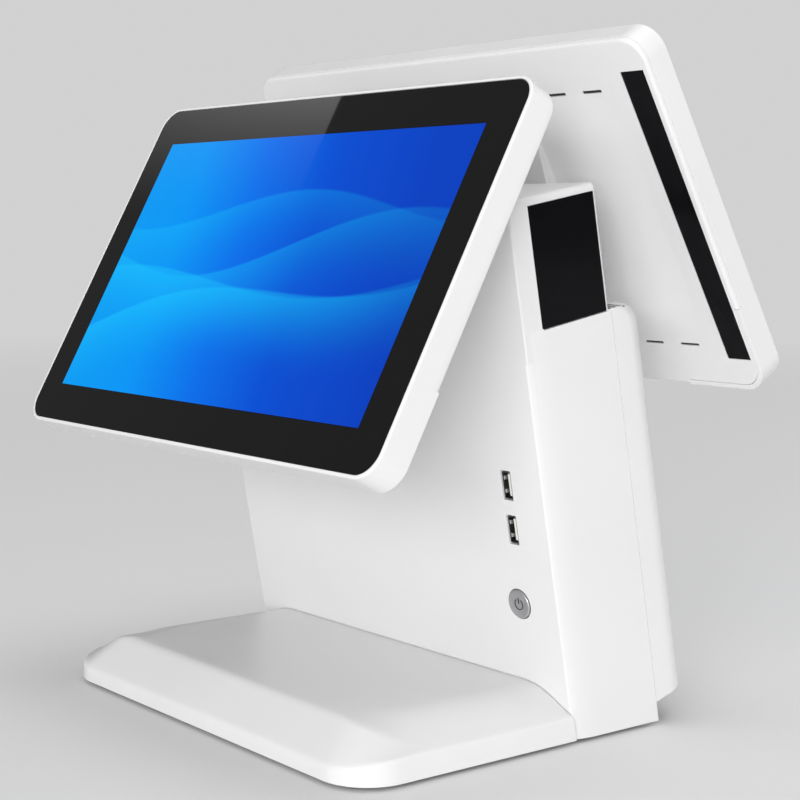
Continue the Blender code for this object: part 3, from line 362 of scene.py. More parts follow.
class Graph:
    """A node tree, with one short method for each kind of node used here."""

    def __init__(self, tree):
        self.nodes, self.links = tree.nodes, tree.links

    def add(self, kind, **values):
        """A new node with its inputs fed; an input's name is written with underscores."""
        node = self.nodes.new("ShaderNode" + kind)
        self.feed_all(node, values)
        return node

    def feed(self, value, socket):
        """Sets a socket to a number or a colour, or joins it to another node's output."""
        if isinstance(value, tuple):
            socket.default_value = (*value, 1.0)
        elif isinstance(value, (int, float)):
            socket.default_value = value
        else:
            self.links.new(value, socket)

    def feed_all(self, node, values):
        for name, value in values.items():
            self.feed(value, node.inputs[name.replace("_", " ")])

    def shade(self, **values):
        self.feed_all(self.nodes["Principled BSDF"], values)

    def coordinates(self):
        return self.add("TexCoord").outputs["Object"]

    def noise(self, scale, detail, roughness, coordinates):
        node = self.add("TexNoise", Scale=scale, Detail=detail, Roughness=roughness, Vector=coordinates)
        return node.outputs["Fac"]

    def remap(self, value, low, high, from_low=0.3, from_high=0.7):
        """The value moved from one range to another, and held within it."""
        ends = {"From_Min": from_low, "From_Max": from_high, "To_Min": low, "To_Max": high}
        return self.add("MapRange", Value=value, **ends).outputs["Result"]

    def calculate(self, operation, *values):
        node = self.add("Math")
        node.operation = operation
        for socket, value in zip(node.inputs, values):
            self.feed(value, socket)
        return node.outputs["Value"]

    def mix(self, factor, first, second, data_type="RGBA"):
        node = self.add("Mix")
        node.data_type = data_type
        self.feed(factor, node.inputs["Factor"])
        self.feed(first, node.inputs["A"])
        self.feed(second, node.inputs["B"])
        return node.outputs["Result"]

    def bump(self, height, strength, distance):
        node = self.add("Bump", Strength=strength, Distance=distance, Height=height)
        self.shade(Normal=node.outputs["Normal"])

    def edge_mask(self, radius):
        """Near 1 along outside edges, from the bevelled normal: there handling polishes them, and moulded
        plastic takes a painted highlight.
        """
        bevel = self.add("Bevel", Radius=radius)
        bevel.samples = 4
        dot = self.add("VectorMath")
        dot.operation = "DOT_PRODUCT"
        self.feed(bevel.outputs["Normal"], dot.inputs[0])
        self.feed(self.add("NewGeometry").outputs["Normal"], dot.inputs[1])
        return self.remap(dot.outputs["Value"], 1.0, 0.0, 0.80, 0.995)


def new_material(name):
    material = bpy.data.materials.new(name)
    material.use_nodes = True
    return material, Graph(material.node_tree)


def scaled(colour, share):
    return tuple(channel * share for channel in colour)


def moulded_plastic(name, colour, roughness, grain):
    """Moulded plastic: fine spark-eroded grain, faint mottling, and edges polished by handling, whose colour
    is lightened as a painted highlight.
    """
    material, graph = new_material(name)
    coordinates = graph.coordinates()
    broad = graph.noise(9.0, 2.0, 0.5, coordinates)
    fine = graph.noise(2600.0, 2.0, 0.6, coordinates)
    smudge = graph.noise(38.0, 4.0, 0.6, coordinates)
    edges = graph.edge_mask(0.8 * MM)
    mottled = graph.mix(graph.remap(broad, 0.0, 1.0), scaled(colour, 0.965), colour)
    # a lighter colour along the edges is a painted highlight; only the smoother roughness there is polish
    # from handling
    painted_edge_highlight = tuple(min(channel * 1.03 + 0.004, 0.96) for channel in colour)
    rough = graph.remap(smudge, roughness - 0.04, roughness + 0.05)
    graph.shade(
        Base_Color=graph.mix(graph.calculate("MULTIPLY", edges, 0.6), mottled, painted_edge_highlight),
        Roughness=graph.calculate("SUBTRACT", rough, graph.calculate("MULTIPLY", edges, 0.06)),
        Specular_IOR_Level=0.45,
    )
    graph.bump(fine, grain, 0.02 * MM)
    return material


def gloss_black(name):
    """Polished black plastic with faint orange peel, dust and hair scratches."""
    material, graph = new_material(name)
    coordinates = graph.coordinates()
    dust = graph.remap(graph.noise(1800.0, 2.0, 0.7, coordinates), 0.0, 1.0, 0.70, 0.80)
    smear = graph.noise(30.0, 4.0, 0.6, coordinates)
    peel = graph.noise(260.0, 1.0, 0.4, coordinates)
    colour, dust_colour = (0.0045, 0.0045, 0.0055), (0.10, 0.10, 0.10)
    graph.shade(
        Base_Color=graph.mix(graph.calculate("MULTIPLY", dust, 0.25), colour, dust_colour),
        Roughness=graph.remap(smear, 0.07, 0.14),
        Specular_IOR_Level=0.08,
    )
    graph.bump(peel, 0.06, 0.02 * MM)
    return material


def metal(name, colour, roughness, along="X", streak=900.0):
    """Sheet metal with fine drawn streaks, cloudy plating and smoother edges."""
    material, graph = new_material(name)
    coordinates = graph.coordinates()
    stretch = graph.add("Mapping", Vector=coordinates)
    scale = [streak, streak, streak]
    scale["XYZ".index(along)] = streak / 40
    stretch.inputs["Scale"].default_value = scale
    streaks = graph.noise(1.0, 3.0, 0.6, stretch.outputs["Vector"])
    cloud = graph.noise(60.0, 3.0, 0.6, coordinates)
    edges = graph.edge_mask(0.4 * MM)
    rough = graph.remap(streaks, roughness - 0.06, roughness + 0.10)
    graph.shade(
        Metallic=1.0,
        Base_Color=graph.mix(graph.remap(cloud, 0.0, 1.0), scaled(colour, 0.78), colour),
        Roughness=graph.calculate("SUBTRACT", rough, graph.calculate("MULTIPLY", edges, 0.10)),
    )
    graph.bump(streaks, 0.15, 0.01 * MM)
    return material


def rubber_material(name):
    """Black rubber with pores and lint."""
    material, graph = new_material(name)
    coordinates = graph.coordinates()
    lint = graph.remap(graph.noise(420.0, 4.0, 0.65, coordinates), 0.0, 1.0, 0.55, 0.75)
    colour, lint_colour = (0.018, 0.018, 0.018), (0.09, 0.088, 0.085)
    graph.shade(
        Base_Color=graph.mix(graph.calculate("MULTIPLY", lint, 0.5), colour, lint_colour),
        Roughness=0.82,
    )
    graph.bump(graph.noise(1500.0, 2.0, 0.6, coordinates), 0.35, 0.05 * MM)
    return material


def circuit_board(name):
    """Green solder mask over darker tracks."""
    material, graph = new_material(name)
    cells = graph.add("TexVoronoi", Scale=320.0, Vector=graph.coordinates())
    cells.distance, cells.feature = "CHEBYCHEV", "DISTANCE_TO_EDGE"
    tracks = graph.remap(cells.outputs["Distance"], 1.0, 0.0, 0.02, 0.10)
    graph.shade(Base_Color=graph.mix(tracks, (0.006, 0.075, 0.028), (0.016, 0.16, 0.06)), Roughness=0.35)
    graph.bump(tracks, 0.3, 0.05 * MM)
    return material


# ---------------------------------------------------------------- the lit picture


def picture_colour(graph, across, up, turn):
    """A plain blue design of soft overlapping folds of light; across and up run from 0 to 1."""
    ramp = graph.add("ValToRGB")
    graph.feed(graph.calculate("MULTIPLY_ADD", up, 0.10, across), ramp.inputs["Fac"])
    stops = (
        (0.02, (0.000, 0.330, 0.900)),
        (0.25, (0.000, 0.300, 0.920)),
        (0.48, (0.001, 0.160, 0.820)),
        (0.70, (0.001, 0.078, 0.650)),
        (1.00, (0.002, 0.052, 0.530)),
    )
    elements = ramp.color_ramp.elements
    while len(elements) < len(stops):
        elements.new(0.5)
    for element, (place, colour) in zip(elements, stops):
        element.position = place
        element.color = (*colour, 1.0)
    colour = ramp.outputs["Color"]
    folds = (  # height at the left, rise, wave height, waves across, phase, width, strength
        (0.20, 0.34, 0.090, 0.75, 0.30 + turn, 0.30, 0.55),
        (0.36, 0.20, 0.120, 0.60, 1.70 + turn, 0.24, 0.45),
        (0.52, 0.10, 0.100, 0.85, 3.10 + turn, 0.34, 0.40),
        (0.70, 0.02, 0.070, 0.95, 4.40 + turn, 0.26, 0.30),
    )
    fade_rightwards = graph.remap(across, 1.0, 0.25, 0.25, 1.0)
    for start, rise, height, waves, phase, width, strength in folds:
        angle = graph.calculate("MULTIPLY_ADD", across, 2 * math.pi * waves, phase)
        wave = graph.calculate("MULTIPLY", graph.calculate("SINE", angle), height)
        line = graph.calculate("ADD", graph.calculate("MULTIPLY_ADD", across, rise, start), wave)
        below = graph.calculate("SUBTRACT", line, up)
        fade = graph.calculate("POWER", graph.remap(below, 1.0, 0.0, 0.0, width), 1.8)
        edge = graph.remap(below, 0.0, 1.0, -0.006, 0.004)
        lit = graph.calculate("MULTIPLY", graph.calculate("MULTIPLY", fade, edge), fade_rightwards)
        colour = graph.mix(graph.calculate("MULTIPLY", lit, strength), colour, (0.008, 0.540, 1.000))
    return colour


def lit_area(graph, place, margin=0.0):
    """1 inside the lit area grown by the margin, and 0 outside."""
    width = graph.calculate("ABSOLUTE", place.outputs["X"])
    inside_width = graph.calculate("LESS_THAN", width, ACTIVE_HALF[0] + margin)
    height = graph.calculate("ABSOLUTE", graph.calculate("ADD", place.outputs["Z"], ACTIVE_DROP))
    inside_height = graph.calculate("LESS_THAN", height, ACTIVE_HALF[1] + margin)
    return graph.calculate("MULTIPLY", inside_width, inside_height)


def screen_material(name, turn=0.0):
    """Cover glass: black print round a lit picture, with finger smears on the gloss."""
    material, graph = new_material(name)
    place = graph.add("SeparateXYZ", Vector=graph.coordinates())
    across = graph.calculate("MULTIPLY_ADD", place.outputs["X"], 0.5 / ACTIVE_HALF[0], 0.5)
    up = graph.calculate("MULTIPLY_ADD", place.outputs["Z"], 0.5 / ACTIVE_HALF[1], 0.5)
    mask = lit_area(graph, place)
    black_border = lit_area(graph, place, 0.45 * MM)
    smear = graph.noise(22.0, 5.0, 0.65, graph.coordinates())
    graph.shade(
        Base_Color=graph.mix(black_border, (0.0050, 0.0050, 0.0052), (0.0015, 0.0015, 0.0018)),
        Emission_Color=picture_colour(graph, across, up, turn),
        Emission_Strength=mask,
        Roughness=graph.remap(smear, 0.008, 0.030),
        IOR=1.5,
        Specular_IOR_Level=graph.remap(mask, 0.50, 0.06, 0.0, 1.0),
    )
    return material


# ---------------------------------------------------------------- foot


def foot_section(share):
    """Offsets inwards and heights up the foot's outside, eased from its front (0) to its sides (1)."""
    front = [(0.0, 0.0), (0.0, 5.8), (0.25, 7.0), (1.0, 8.1), (2.4, 9.4), (16.0, 21.2), (17.6, 22.4)]
    front += [(19.2, 23.1)] + [(inset, 23.4) for inset in (21.0, 24.0, 27.0, 30.0, 33.0)]
    side = [(0.0, 0.0), (0.0, 9.2), (0.12, 10.3), (0.45, 11.0), (0.95, 11.6), (2.3, 12.35), (3.9, 13.2)]
    side += [(6.6, 14.6), (10.0, 16.6), (14.5, 19.1), (19.5, 21.4), (24.5, 22.8), (30.5, 23.4)]
    ease = smooth_step(share)
    return [mm(f[0] + (s[0] - f[0]) * ease, f[1] + (s[1] - f[1]) * ease) for f, s in zip(front, side)]


def build_foot():
    """A loft up the foot's outside: each level is its plan moved inwards, and sinks towards the sides."""
    front_steps, corner_steps, side_steps = 9, 28, 12
    last_upright = 4  # the levels above this one are the slope, where the corners open out
    rings = []
    for level in range(len(foot_section(0))):
        front_inset, _ = foot_section(0)[level]
        side_inset, side_height = foot_section(1)[level]
        half_width = BODY_HALF_WIDTH - side_inset
        front = FOOT_FRONT + front_inset
        opened = 0.35 * front_inset if level > last_upright else 0.0
        radius = max(FOOT_CORNER + opened - side_inset * 0.3, 12.0 * MM)
        right = [((half_width - radius) * i / front_steps, front, 0.0) for i in range(front_steps)]
        for i in range(corner_steps + 1):
            share = i / corner_steps
            angle = math.pi / 2 * share
            x = half_width - radius + radius * math.sin(angle)
            y = front + radius - radius * math.cos(angle)
            right.append((x, y, share))
        first_y = right[-1][1]
        last_y = COLUMN_FRONT - math.tan(LEAN) * side_height - FOOT_GAP
        for i in range(1, side_steps + 1):
            right.append((half_width, first_y + (last_y - first_y) * i / side_steps, 1.0))
        placed = [(x, y, foot_section(share)[level][1]) for x, y, share in right]
        rings.append([(-x, y, z) for x, y, z in reversed(placed[1:])] + placed)
    bm = bmesh.new()
    rows = skin(bm, [[offset_inwards(point, WALL) for point in rings[0]]] + rings)
    bm.faces.new(rows[-1])
    inner = rows[0]
    lid = [bm.verts.new((vert.co.x, vert.co.y, 5.0 * MM)) for vert in inner]
    for i in range(len(lid)):
        following = (i + 1) % len(lid)
        bm.faces.new((inner[following], inner[i], lid[i], lid[following]))
    bm.faces.new(lid[::-1])
    mesh = mesh_from(bm, 40)
    add_piece("foot_body", mesh, "base", "white_shell", BASE, ["foot_shell"])


def offset_inwards(point, distance):
    """A point of the foot's outline moved towards the foot's middle."""
    x, y, z = point
    if abs(x) > distance:
        x = math.copysign(abs(x) - distance, x)
    if y < 0:
        y = min(y + distance, 0.0)
    if y > 80 * MM:
        y = y - distance
    return (x, y, z)


# ---------------------------------------------------------------- column


def column_plan(side_inset):
    """The column's outline in its own axes: flat front, soft band round each front corner, straight sides."""
    half = BODY_HALF_WIDTH - side_inset
    band_depth, band_width = mm(14.5, 2.8)
    right = [(x * (half - band_width) / 6, 0.0) for x in range(6)]
    for angle in quarter_angles(14):
        right.append((half - band_width + band_width * math.sin(angle), band_depth * (1 - math.cos(angle))))
    right.append((half, (band_depth + SIDE_DEPTH) / 2))
    right.append((half, SIDE_DEPTH - side_inset))
    return [(-x, y) for x, y in reversed(right[1:])] + right


def neck_outline(inset):
    """The neck seen from the front, rounded at its top corners."""
    half, corner = NECK_HALF_WIDTH - inset, 2.5 * MM
    right = [(half, 180 * MM)] + arc((half - corner, NECK_TOP - inset - corner), corner, 0, 90, 10)
    return right + [(-x, z) for x, z in reversed(right)]


def build_neck_mesh():
    """The neck as a loft from front to rear, with softened front and rear edges."""
    rings = []
    for depth, inset in soft_ends(0.02 * MM, NECK_DEPTH, 0.9 * MM, 4):
        rings.append([(x, depth, z) for x, z in neck_outline(inset)])
    return ring_solid(rings)


def soft_ends(start, end, radius, steps):
    """(place, inset) pairs along a solid whose two ends are rounded."""
    places = []
    for angle in quarter_angles(steps):
        places.append((start + radius * (1 - math.cos(angle)), radius * (1 - math.sin(angle))))
    return places + [(start + end - place, inset) for place, inset in reversed(places)]


def inlay_box(side, proud, deep, clearance=0.0, bevel=0.0):
    """A box where a side inlay sits, from proud of the neck's side to deep into it."""
    across = sorted((side * (NECK_HALF_WIDTH + proud), side * (NECK_HALF_WIDTH - deep)))
    low = (across[0], INLAY_FRONT - clearance, INLAY_LOW - clearance)
    high = (across[1], INLAY_REAR + clearance, INLAY_HIGH + clearance)
    return box_mesh(low, high, bevel)


def column_tools():
    """What is cut from the column: its hollow, and room for the inlays, hinges, sockets and button."""
    inner = BODY_HALF_WIDTH - WALL
    tools = [box_mesh((-inner, WALL, -20 * MM), (inner, 65 * MM, RIM - WALL))]
    inner = NECK_HALF_WIDTH - WALL
    high = (inner, NECK_DEPTH - WALL, NECK_TOP - WALL)
    tools.append(box_mesh((-inner, WALL, RIM - 10 * MM), high))
    for side in (-1, 1):
        tools.append(inlay_box(side, 1.5 * MM, 1.6 * MM, GAP))
        for depth in (0.0, NECK_DEPTH):
            centre = (side * HINGE_SLOT_X, depth, HINGE_HEIGHT)
            tools.append(centred_box(centre, mm(7.2, 10, 15), 0.8 * MM))
    for height in USB_HEIGHTS:
        tools.append(centred_box((PORT_X, 0, height), mm(6.8, 10, 14.4), 0.5 * MM))
    radius, reach = BUTTON_RADIUS + 0.45 * MM, 5 * MM
    hole = [(0, -reach), (radius, -reach), (radius, reach), (0, reach)]
    tools.append(turned_mesh(hole, (BUTTON_X, 0, BUTTON_HEIGHT)))
    return tools


def build_column():
    rings = [level_ring(column_plan(0.0), BODY_LOW)]
    radius = 0.8 * MM
    for angle in quarter_angles(5):
        outline = column_plan(radius * (1 - math.cos(angle)))
        rings.append(level_ring(outline, RIM - radius + radius * math.sin(angle)))
    shell = cut(join(ring_solid(rings), build_neck_mesh()), *column_tools())
    below_floor = box_mesh((-0.2, -0.2, -0.1), (0.2, 0.3, 0.0))
    plate_room = box_mesh(mm(-124.7, 50, -10), mm(124.7, 130, 1.8))
    for tool in (below_floor, plate_room):
        tool.transform(COLUMN.inverted() @ BASE)
    shell = cut(shell, below_floor, plate_room, foot_groove())
    add_piece("column_body", shell, "base", "white_shell", COLUMN, ["column_shell"])


def foot_groove():
    """A fine shadow gap in the column's front that follows the top of the foot."""
    height, depth = mm(0.45, 0.6)
    right = [(BODY_HALF_WIDTH - inset, up / math.cos(LEAN)) for inset, up in foot_section(1)[3:]]
    line = right + [(-x, up) for x, up in reversed(right)]
    outline = [(x, up + height) for x, up in line] + [(x, up - 1 * MM) for x, up in reversed(line)]
    return plate_mesh([outline], -2 * MM, depth, "XZ")


def build_side_panels():
    for side, word in ((-1, "left"), (1, "right")):
        mesh = inlay_box(side, 0.1 * MM, 1.3 * MM, bevel=0.25 * MM)
        add_piece(f"neck_panel_{word}", mesh, "base", "gloss_black", COLUMN, [f"side_panel_{word}"])


def rear_plan(side_inset, rear_inset):
    """The rear cover's outline: straight sides from the seam and two rounded rear corners."""
    half = BODY_HALF_WIDTH - side_inset
    rear = BODY_DEPTH - rear_inset
    corner = min(14.0 * MM, rear - SEAM - 1.0 * MM) - side_inset
    right = [(half, SEAM), (half, (SEAM + rear - corner) / 2)]
    right += arc((half - corner, rear - corner), corner, 0, 90, 14)
    right += [((half - corner) * (5 - i) / 5, rear) for i in range(1, 5)]
    return right + [(0.0, rear)] + [(-x, y) for x, y in reversed(right)]


def build_rear_cover():
    """A block with a rounded roof, hollowed from the seam side, open behind the neck and at its foot."""
    rings = [level_ring(rear_plan(0.0, 0.0), BODY_LOW)]
    side_radius = 0.7 * MM
    for angle in quarter_angles(16):
        height = TOP_CORNER * math.sin(angle)
        into_rounding = min(max(height - (TOP_CORNER - side_radius), 0.0) / side_radius, 1.0)
        side_inset = side_radius * (1 - math.sqrt(1 - into_rounding ** 2))
        outline = rear_plan(side_inset, TOP_CORNER * (1 - math.cos(angle)))
        rings.append(level_ring(outline, RIM - TOP_CORNER + height))
    wall, reach = mm(2.8, 10)
    hollow_levels = ((-214.0, 0.0), (-13.0, 0.0), (-9.0, 1.0), (-6.0, 3.0), (-3.0, 7.0))  # height, rear inset
    hollow_rings = []
    for height, further in hollow_levels:
        outline = rear_plan(wall, wall + further * MM)
        ends = [(x, y - reach) for x, y in (outline[0], outline[-1])]
        hollow_rings.append(level_ring([ends[0]] + outline + [ends[1]], RIM + height * MM))
    opening_rings = []
    for height, grow in ((-11.0, 0.0), (-0.3, 0.0), (0.7, 1.0)):
        half, rear = OPENING_HALF + grow * MM, OPENING_REAR + grow * MM
        outline = [(-half, SEAM - reach), (half, SEAM - reach), (half, rear), (-half, rear)]
        opening_rings.append(level_ring(outline, RIM + height * MM))
    cable_exit = [mm(40, -25), mm(90, -25), mm(90, 3), mm(54.8, -0.8), mm(40, -2.4)]
    cable_exit = plate_mesh([cable_exit], -0.15, 0.15, "YZ")
    hollow, opening = ring_solid(hollow_rings), ring_solid(opening_rings)
    cover = cut(ring_solid(rings), hollow, opening, cable_exit)
    add_piece("rear_cover_body", cover, "base", "white_shell", COLUMN, ["rear_cover"])


def build_grille():
    """A louvre in the gap behind the neck, close under the rim, with rows of slots over a black sheet of
    painted shade.
    """
    half, front, rear = OPENING_HALF - GAP, SIDE_DEPTH + 2 * GAP, OPENING_REAR - GAP
    rows, places = 3, 6
    rim, bar, rib = mm(0.3, 0.7, 1.6)
    slot_depth = (rear - front - 2 * rim - (rows - 1) * bar) / rows
    slot_length = (2 * (half - rim) - (places - 1) * rib) / places
    mesh = box_mesh((-half, front, 193.5 * MM), (half, rear, 193.75 * MM), 0.05 * MM, 2)
    slots = []
    for row in range(rows):
        for place in range(places):
            left = -half + rim + place * (slot_length + rib)
            near = front + rim + row * (slot_depth + bar)
            high = (left + slot_length, near + slot_depth, 195 * MM)
            slots.append(box_mesh((left, near, 190 * MM), high))
    add_piece("vent_grille", cut(mesh, *slots), "base", "white_shell", COLUMN, ["top_vent_grille"])
    # a black sheet just under the slots: painted shade of the hollow beneath the louvre
    shade_sheet = box_mesh((-half, front, 192.6 * MM), (half, rear, 193.3 * MM), 0.1 * MM, 2)
    add_piece("grille_shade_sheet", shade_sheet, "base", "matte_black", COLUMN)


# ---------------------------------------------------------------- displays


def frame_profile():
    """(inset, depth) round the frame's section, from the glass recess over the front and side to the back."""
    front_radius, rear_radius, rear_inner = mm(0.9, 0.3, 7.0)
    profile = [mm(1.7, 2.1), mm(1.7, 0.30), mm(1.62, 0.10), mm(1.42, 0.0)]
    for angle in quarter_angles(6):
        profile.append((front_radius * (1 - math.sin(angle)), front_radius * (1 - math.cos(angle))))
    for angle in quarter_angles(3):
        depth = BACK_DEPTH - rear_radius * (1 - math.sin(angle))
        profile.append((rear_radius * (1 - math.cos(angle)), depth))
    return profile + [(rear_inner, BACK_DEPTH), (rear_inner, 2.1 * MM)]


def strip_box(side, proud, gap=0.0, bevel=0.0):
    """A box where a trim strip sits, grown by a gap, that ends proud of the back's face."""
    half = STRIP_WIDTH / 2 + gap
    low = (side * STRIP_X - half, BACK_DEPTH - STRIP_THICKNESS - gap, STRIP_LOW - gap)
    high = (side * STRIP_X + half, BACK_DEPTH + proud, STRIP_HIGH + gap)
    return box_mesh(low, high, bevel)


def build_display(prefix, axes, screen):
    """A display's frame, glass, back cover, black sheets of painted shade behind the vents, and trim strips,
    on the body that prefix names.
    """
    rings = [upright_ring(FRAME_HALF, FRAME_CORNER, inset, depth) for inset, depth in frame_profile()]
    behind = back_rings([(-5 * MM, 0.0, FRAME_DEPTH), (-5 * MM, 0.0, BACK_DEPTH + 5 * MM)])
    bezel = cut(ring_solid(rings, closed=True), ring_solid(behind))
    add_piece(f"{prefix}_bezel_frame", bezel, prefix, "white_shell", axes, [f"{prefix}_frame"])
    margin = 2.0 * MM
    profile = [mm(0.5, 1.8), mm(0.0, 1.5), mm(0.0, 0.35), mm(0.10, 0.10), mm(0.35, 0.0)]
    half, corner = inside_frame(margin), FRAME_CORNER - margin
    rings = [upright_ring(half, corner, inset, depth) for inset, depth in profile]
    name, replaced = f"{prefix}_touch_glass", [f"{prefix}_glass"]
    add_piece(name, ring_solid(rings), prefix, "screen_glass", axes, replaced, screen, own_axes=True)
    build_back_cover(prefix, axes)
    build_vent_shade_sheets(prefix, axes)
    for side, word in ((-1, "left"), (1, "right")):
        strip, name = strip_box(side, 0.1 * MM, bevel=0.25 * MM), f"{prefix}_trim_strip_{word}"
        add_piece(name, strip, prefix, "gloss_black", axes, [f"{prefix}_strip_{word}"])


def inside_frame(inset):
    return (FRAME_HALF[0] - inset, FRAME_HALF[1] - inset)


def back_rings(levels):
    """Rings round a display's back inside the frame's two corner guards: inset, guard clearance, depth."""
    steps = 14
    rings = []
    for inset, clearance, depth in levels:
        guard = GUARD_THICKNESS + clearance
        half, inner = inside_frame(inset), inside_frame(guard)
        radius, inner_radius = FRAME_CORNER - inset, FRAME_CORNER - guard
        top, middle = GUARD_TOP + clearance, GUARD_INNER_X - clearance
        right = [(middle, -half[1]), (middle, -inner[1])]
        right += arc((inner[0] - inner_radius, inner_radius - inner[1]), inner_radius, -90, 0, steps)
        right += [(inner[0], top), (half[0], top)]
        right += arc((half[0] - radius, half[1] - radius), radius, 0, 90, steps)
        outline = right + [(-x, z) for x, z in reversed(right)]
        rings.append([(x, depth, z) for x, z in outline])
    return rings


def raised_height(x, z):
    """The soft raised middle; its edge is sunk a little, so that it joins the plate cleanly."""
    sunk = 0.05 * MM
    across = smooth_step((RAISED_HALF[0] - abs(x)) / RAISED_FALL[0])
    up = smooth_step((RAISED_HALF[1] - abs(z)) / RAISED_FALL[1])
    return (BACK_RISE + sunk) * across * up - sunk


def spread(half, count):
    return [-half + 2 * half * i / count for i in range(count + 1)]


def border(grid):
    """The vertices round the edge of a grid of rows."""
    right = [row[-1] for row in grid[1:]]
    left = [row[0] for row in grid[-2:0:-1]]
    return grid[0] + right + grid[-1][-2::-1] + left


def raised_middle():
    """A closed cushion whose rear is the back cover's soft raised middle."""
    across = spread(RAISED_HALF[0], 60)
    front = 13.8 * MM
    bm = bmesh.new()
    rows, floor = [], []
    for z in spread(RAISED_HALF[1], 40):
        rows.append([bm.verts.new((x, BACK_DEPTH + raised_height(x, z), z)) for x in across])
        floor.append([bm.verts.new((x, front, z)) for x in across])
    for grid in (rows, floor):
        for first, second in zip(grid, grid[1:]):
            for i in range(len(across) - 1):
                bm.faces.new((first[i], first[i + 1], second[i + 1], second[i]))
    edge, floor_edge = border(rows), border(floor)
    for i in range(len(edge)):
        following = (i + 1) % len(edge)
        bm.faces.new((edge[i], edge[following], floor_edge[following], floor_edge[i]))
    return mesh_from(bm)


def build_vent_shade_sheets(prefix, axes):
    """Black sheets of painted shade a little below the face of each vent, standing for the dark inside the
    slots, one piece for the upper row and one for the lower.
    """
    size = (VENT_LENGTH - 0.1 * MM, 1.6 * MM, VENT_WIDTH - 0.1 * MM)
    for upper, word in ((-1, "lower"), (1, "upper")):
        shade_sheets = []
        for side in (1, -1):
            for number in range(VENTS_PER_SIDE):
                x = side * (VENT_X + VENT_PITCH * number)
                # each sheet darkens its vent: painted shade of the hollow behind the slot
                shade_sheets.append(centred_box((x, BACK_DEPTH - 1.5 * MM, upper * VENT_Z), size))
        name = f"{prefix}_vent_shade_sheet_{word}"
        add_piece(name, gathered(shade_sheets), prefix, "matte_black", axes)


def build_back_cover(prefix, axes):
    edge, clearance = mm(1.5, 0.15)
    levels = [(BACK_INSET, clearance, FRAME_DEPTH + 0.12 * MM)]
    for angle in quarter_angles(6):
        inset = edge * (1 - math.cos(angle))
        depth = BACK_DEPTH - edge * (1 - math.sin(angle))
        levels.append((BACK_INSET + inset, clearance + 0.2 * inset, depth))
    cover = join(ring_solid(back_rings(levels)), raised_middle())
    tools = []
    for side in (-1, 1):
        for upper in (-1, 1):
            for number in range(VENTS_PER_SIDE):
                centre = (side * (VENT_X + VENT_PITCH * number), BACK_DEPTH - 1 * MM, upper * VENT_Z)
                tools.append(centred_box(centre, (VENT_LENGTH, 8 * MM, VENT_WIDTH), 0.3 * MM, 2))
        tools.append(strip_box(side, 2 * MM, GAP))
    name, replaced = f"{prefix}_rear_shell", [f"{prefix}_back_cover"]
    add_piece(name, cut(cover, *tools), prefix, "white_shell", axes, replaced)


def build_hinge_cover():
    """A wedge behind the customer display that hides its hinge."""
    back, half_width = BACK_DEPTH + BACK_RISE, 68 * MM
    outline = [(back - 1 * MM, 56 * MM), (back + 0.6 * MM, 56 * MM)]
    outline += [(back + 10.6 * MM, 8 * MM)] + arc((back + 6.6 * MM, 3.6 * MM), 4.4 * MM, 0, -60, 6)
    outline += [(back + 2 * MM, -9 * MM), (back - 1 * MM, -12 * MM)]
    mesh = plate_mesh([outline], -half_width, half_width, "YZ")
    slots = []
    for side in (-1, 1):
        centre = (side * 44.4 * MM, back + 15 * MM, 11.5 * MM)
        slots.append(centred_box(centre, mm(8.2, 30, 13), 0.5 * MM))
    wedge, replaced = cut(mesh, *slots), ["customer_hinge_cover"]
    add_piece("customer_hinge_wedge", wedge, "customer_display", "white_shell", CUSTOMER, replaced)


# ---------------------------------------------------------------- power button and sockets


def build_button():
    """A dished metal cap with an engraved power sign."""
    profile = [(0.0, 8.2), (2.5, 8.2), (2.5, 2.6), (7.1, 2.6), (7.1, -0.35), (6.98, -0.62), (6.75, -0.80)]
    profile += [(6.45, -0.88), (6.0, -0.86), (4.0, -0.66), (2.0, -0.54), (0.0, -0.50)]
    body, replaced = "power_button", ["power_button_cap"]
    cap = turned_mesh([mm(radius, depth) for radius, depth in profile], steps=64)
    add_piece("power_button_dished_cap", cap, body, "button_metal", BUTTON, replaced)
    sign = power_sign(2.6 * MM, 0.42 * MM, -0.75 * MM, -0.40 * MM)
    add_piece("power_button_sign", sign, body, "matte_black", BUTTON)


def build_button_spring():
    """A coil between the cap and its guide, at its rest length; the real coil shortens as the button goes in.
    """
    radius, wire, low, high = mm(4.0, 0.2, 3.2, 4.8)
    steps, sides, count = 32, 8, 80
    rings = []
    for i in range(count + 1):
        angle = 2 * math.pi * i / steps
        depth = low + (high - low) * i / count
        wire_round = arc((radius, depth), wire, 0, 360 - 360 / sides, sides - 1)
        rings.append([(out * math.cos(angle), along, out * math.sin(angle)) for out, along in wire_round])
    coil = ring_solid(rings)
    spring = add_piece("power_button_coil", coil, "base", "steel", BUTTON, ["power_button_spring"])
    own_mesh(spring)


def power_sign(radius, width, front, back):
    """A broken ring with a bar in its gap, as one flat mesh in the cap's face."""
    outer = arc((0, 0), radius + width / 2, 125, 415, 40)
    inner = arc((0, 0), radius - width / 2, 415, 125, 40)
    ring = plate_mesh([outer + inner], front, back, "XZ")
    bar = centred_box((0, (front + back) / 2, radius * 0.72), (width, back - front, radius * 1.15))
    return gathered([ring, bar])


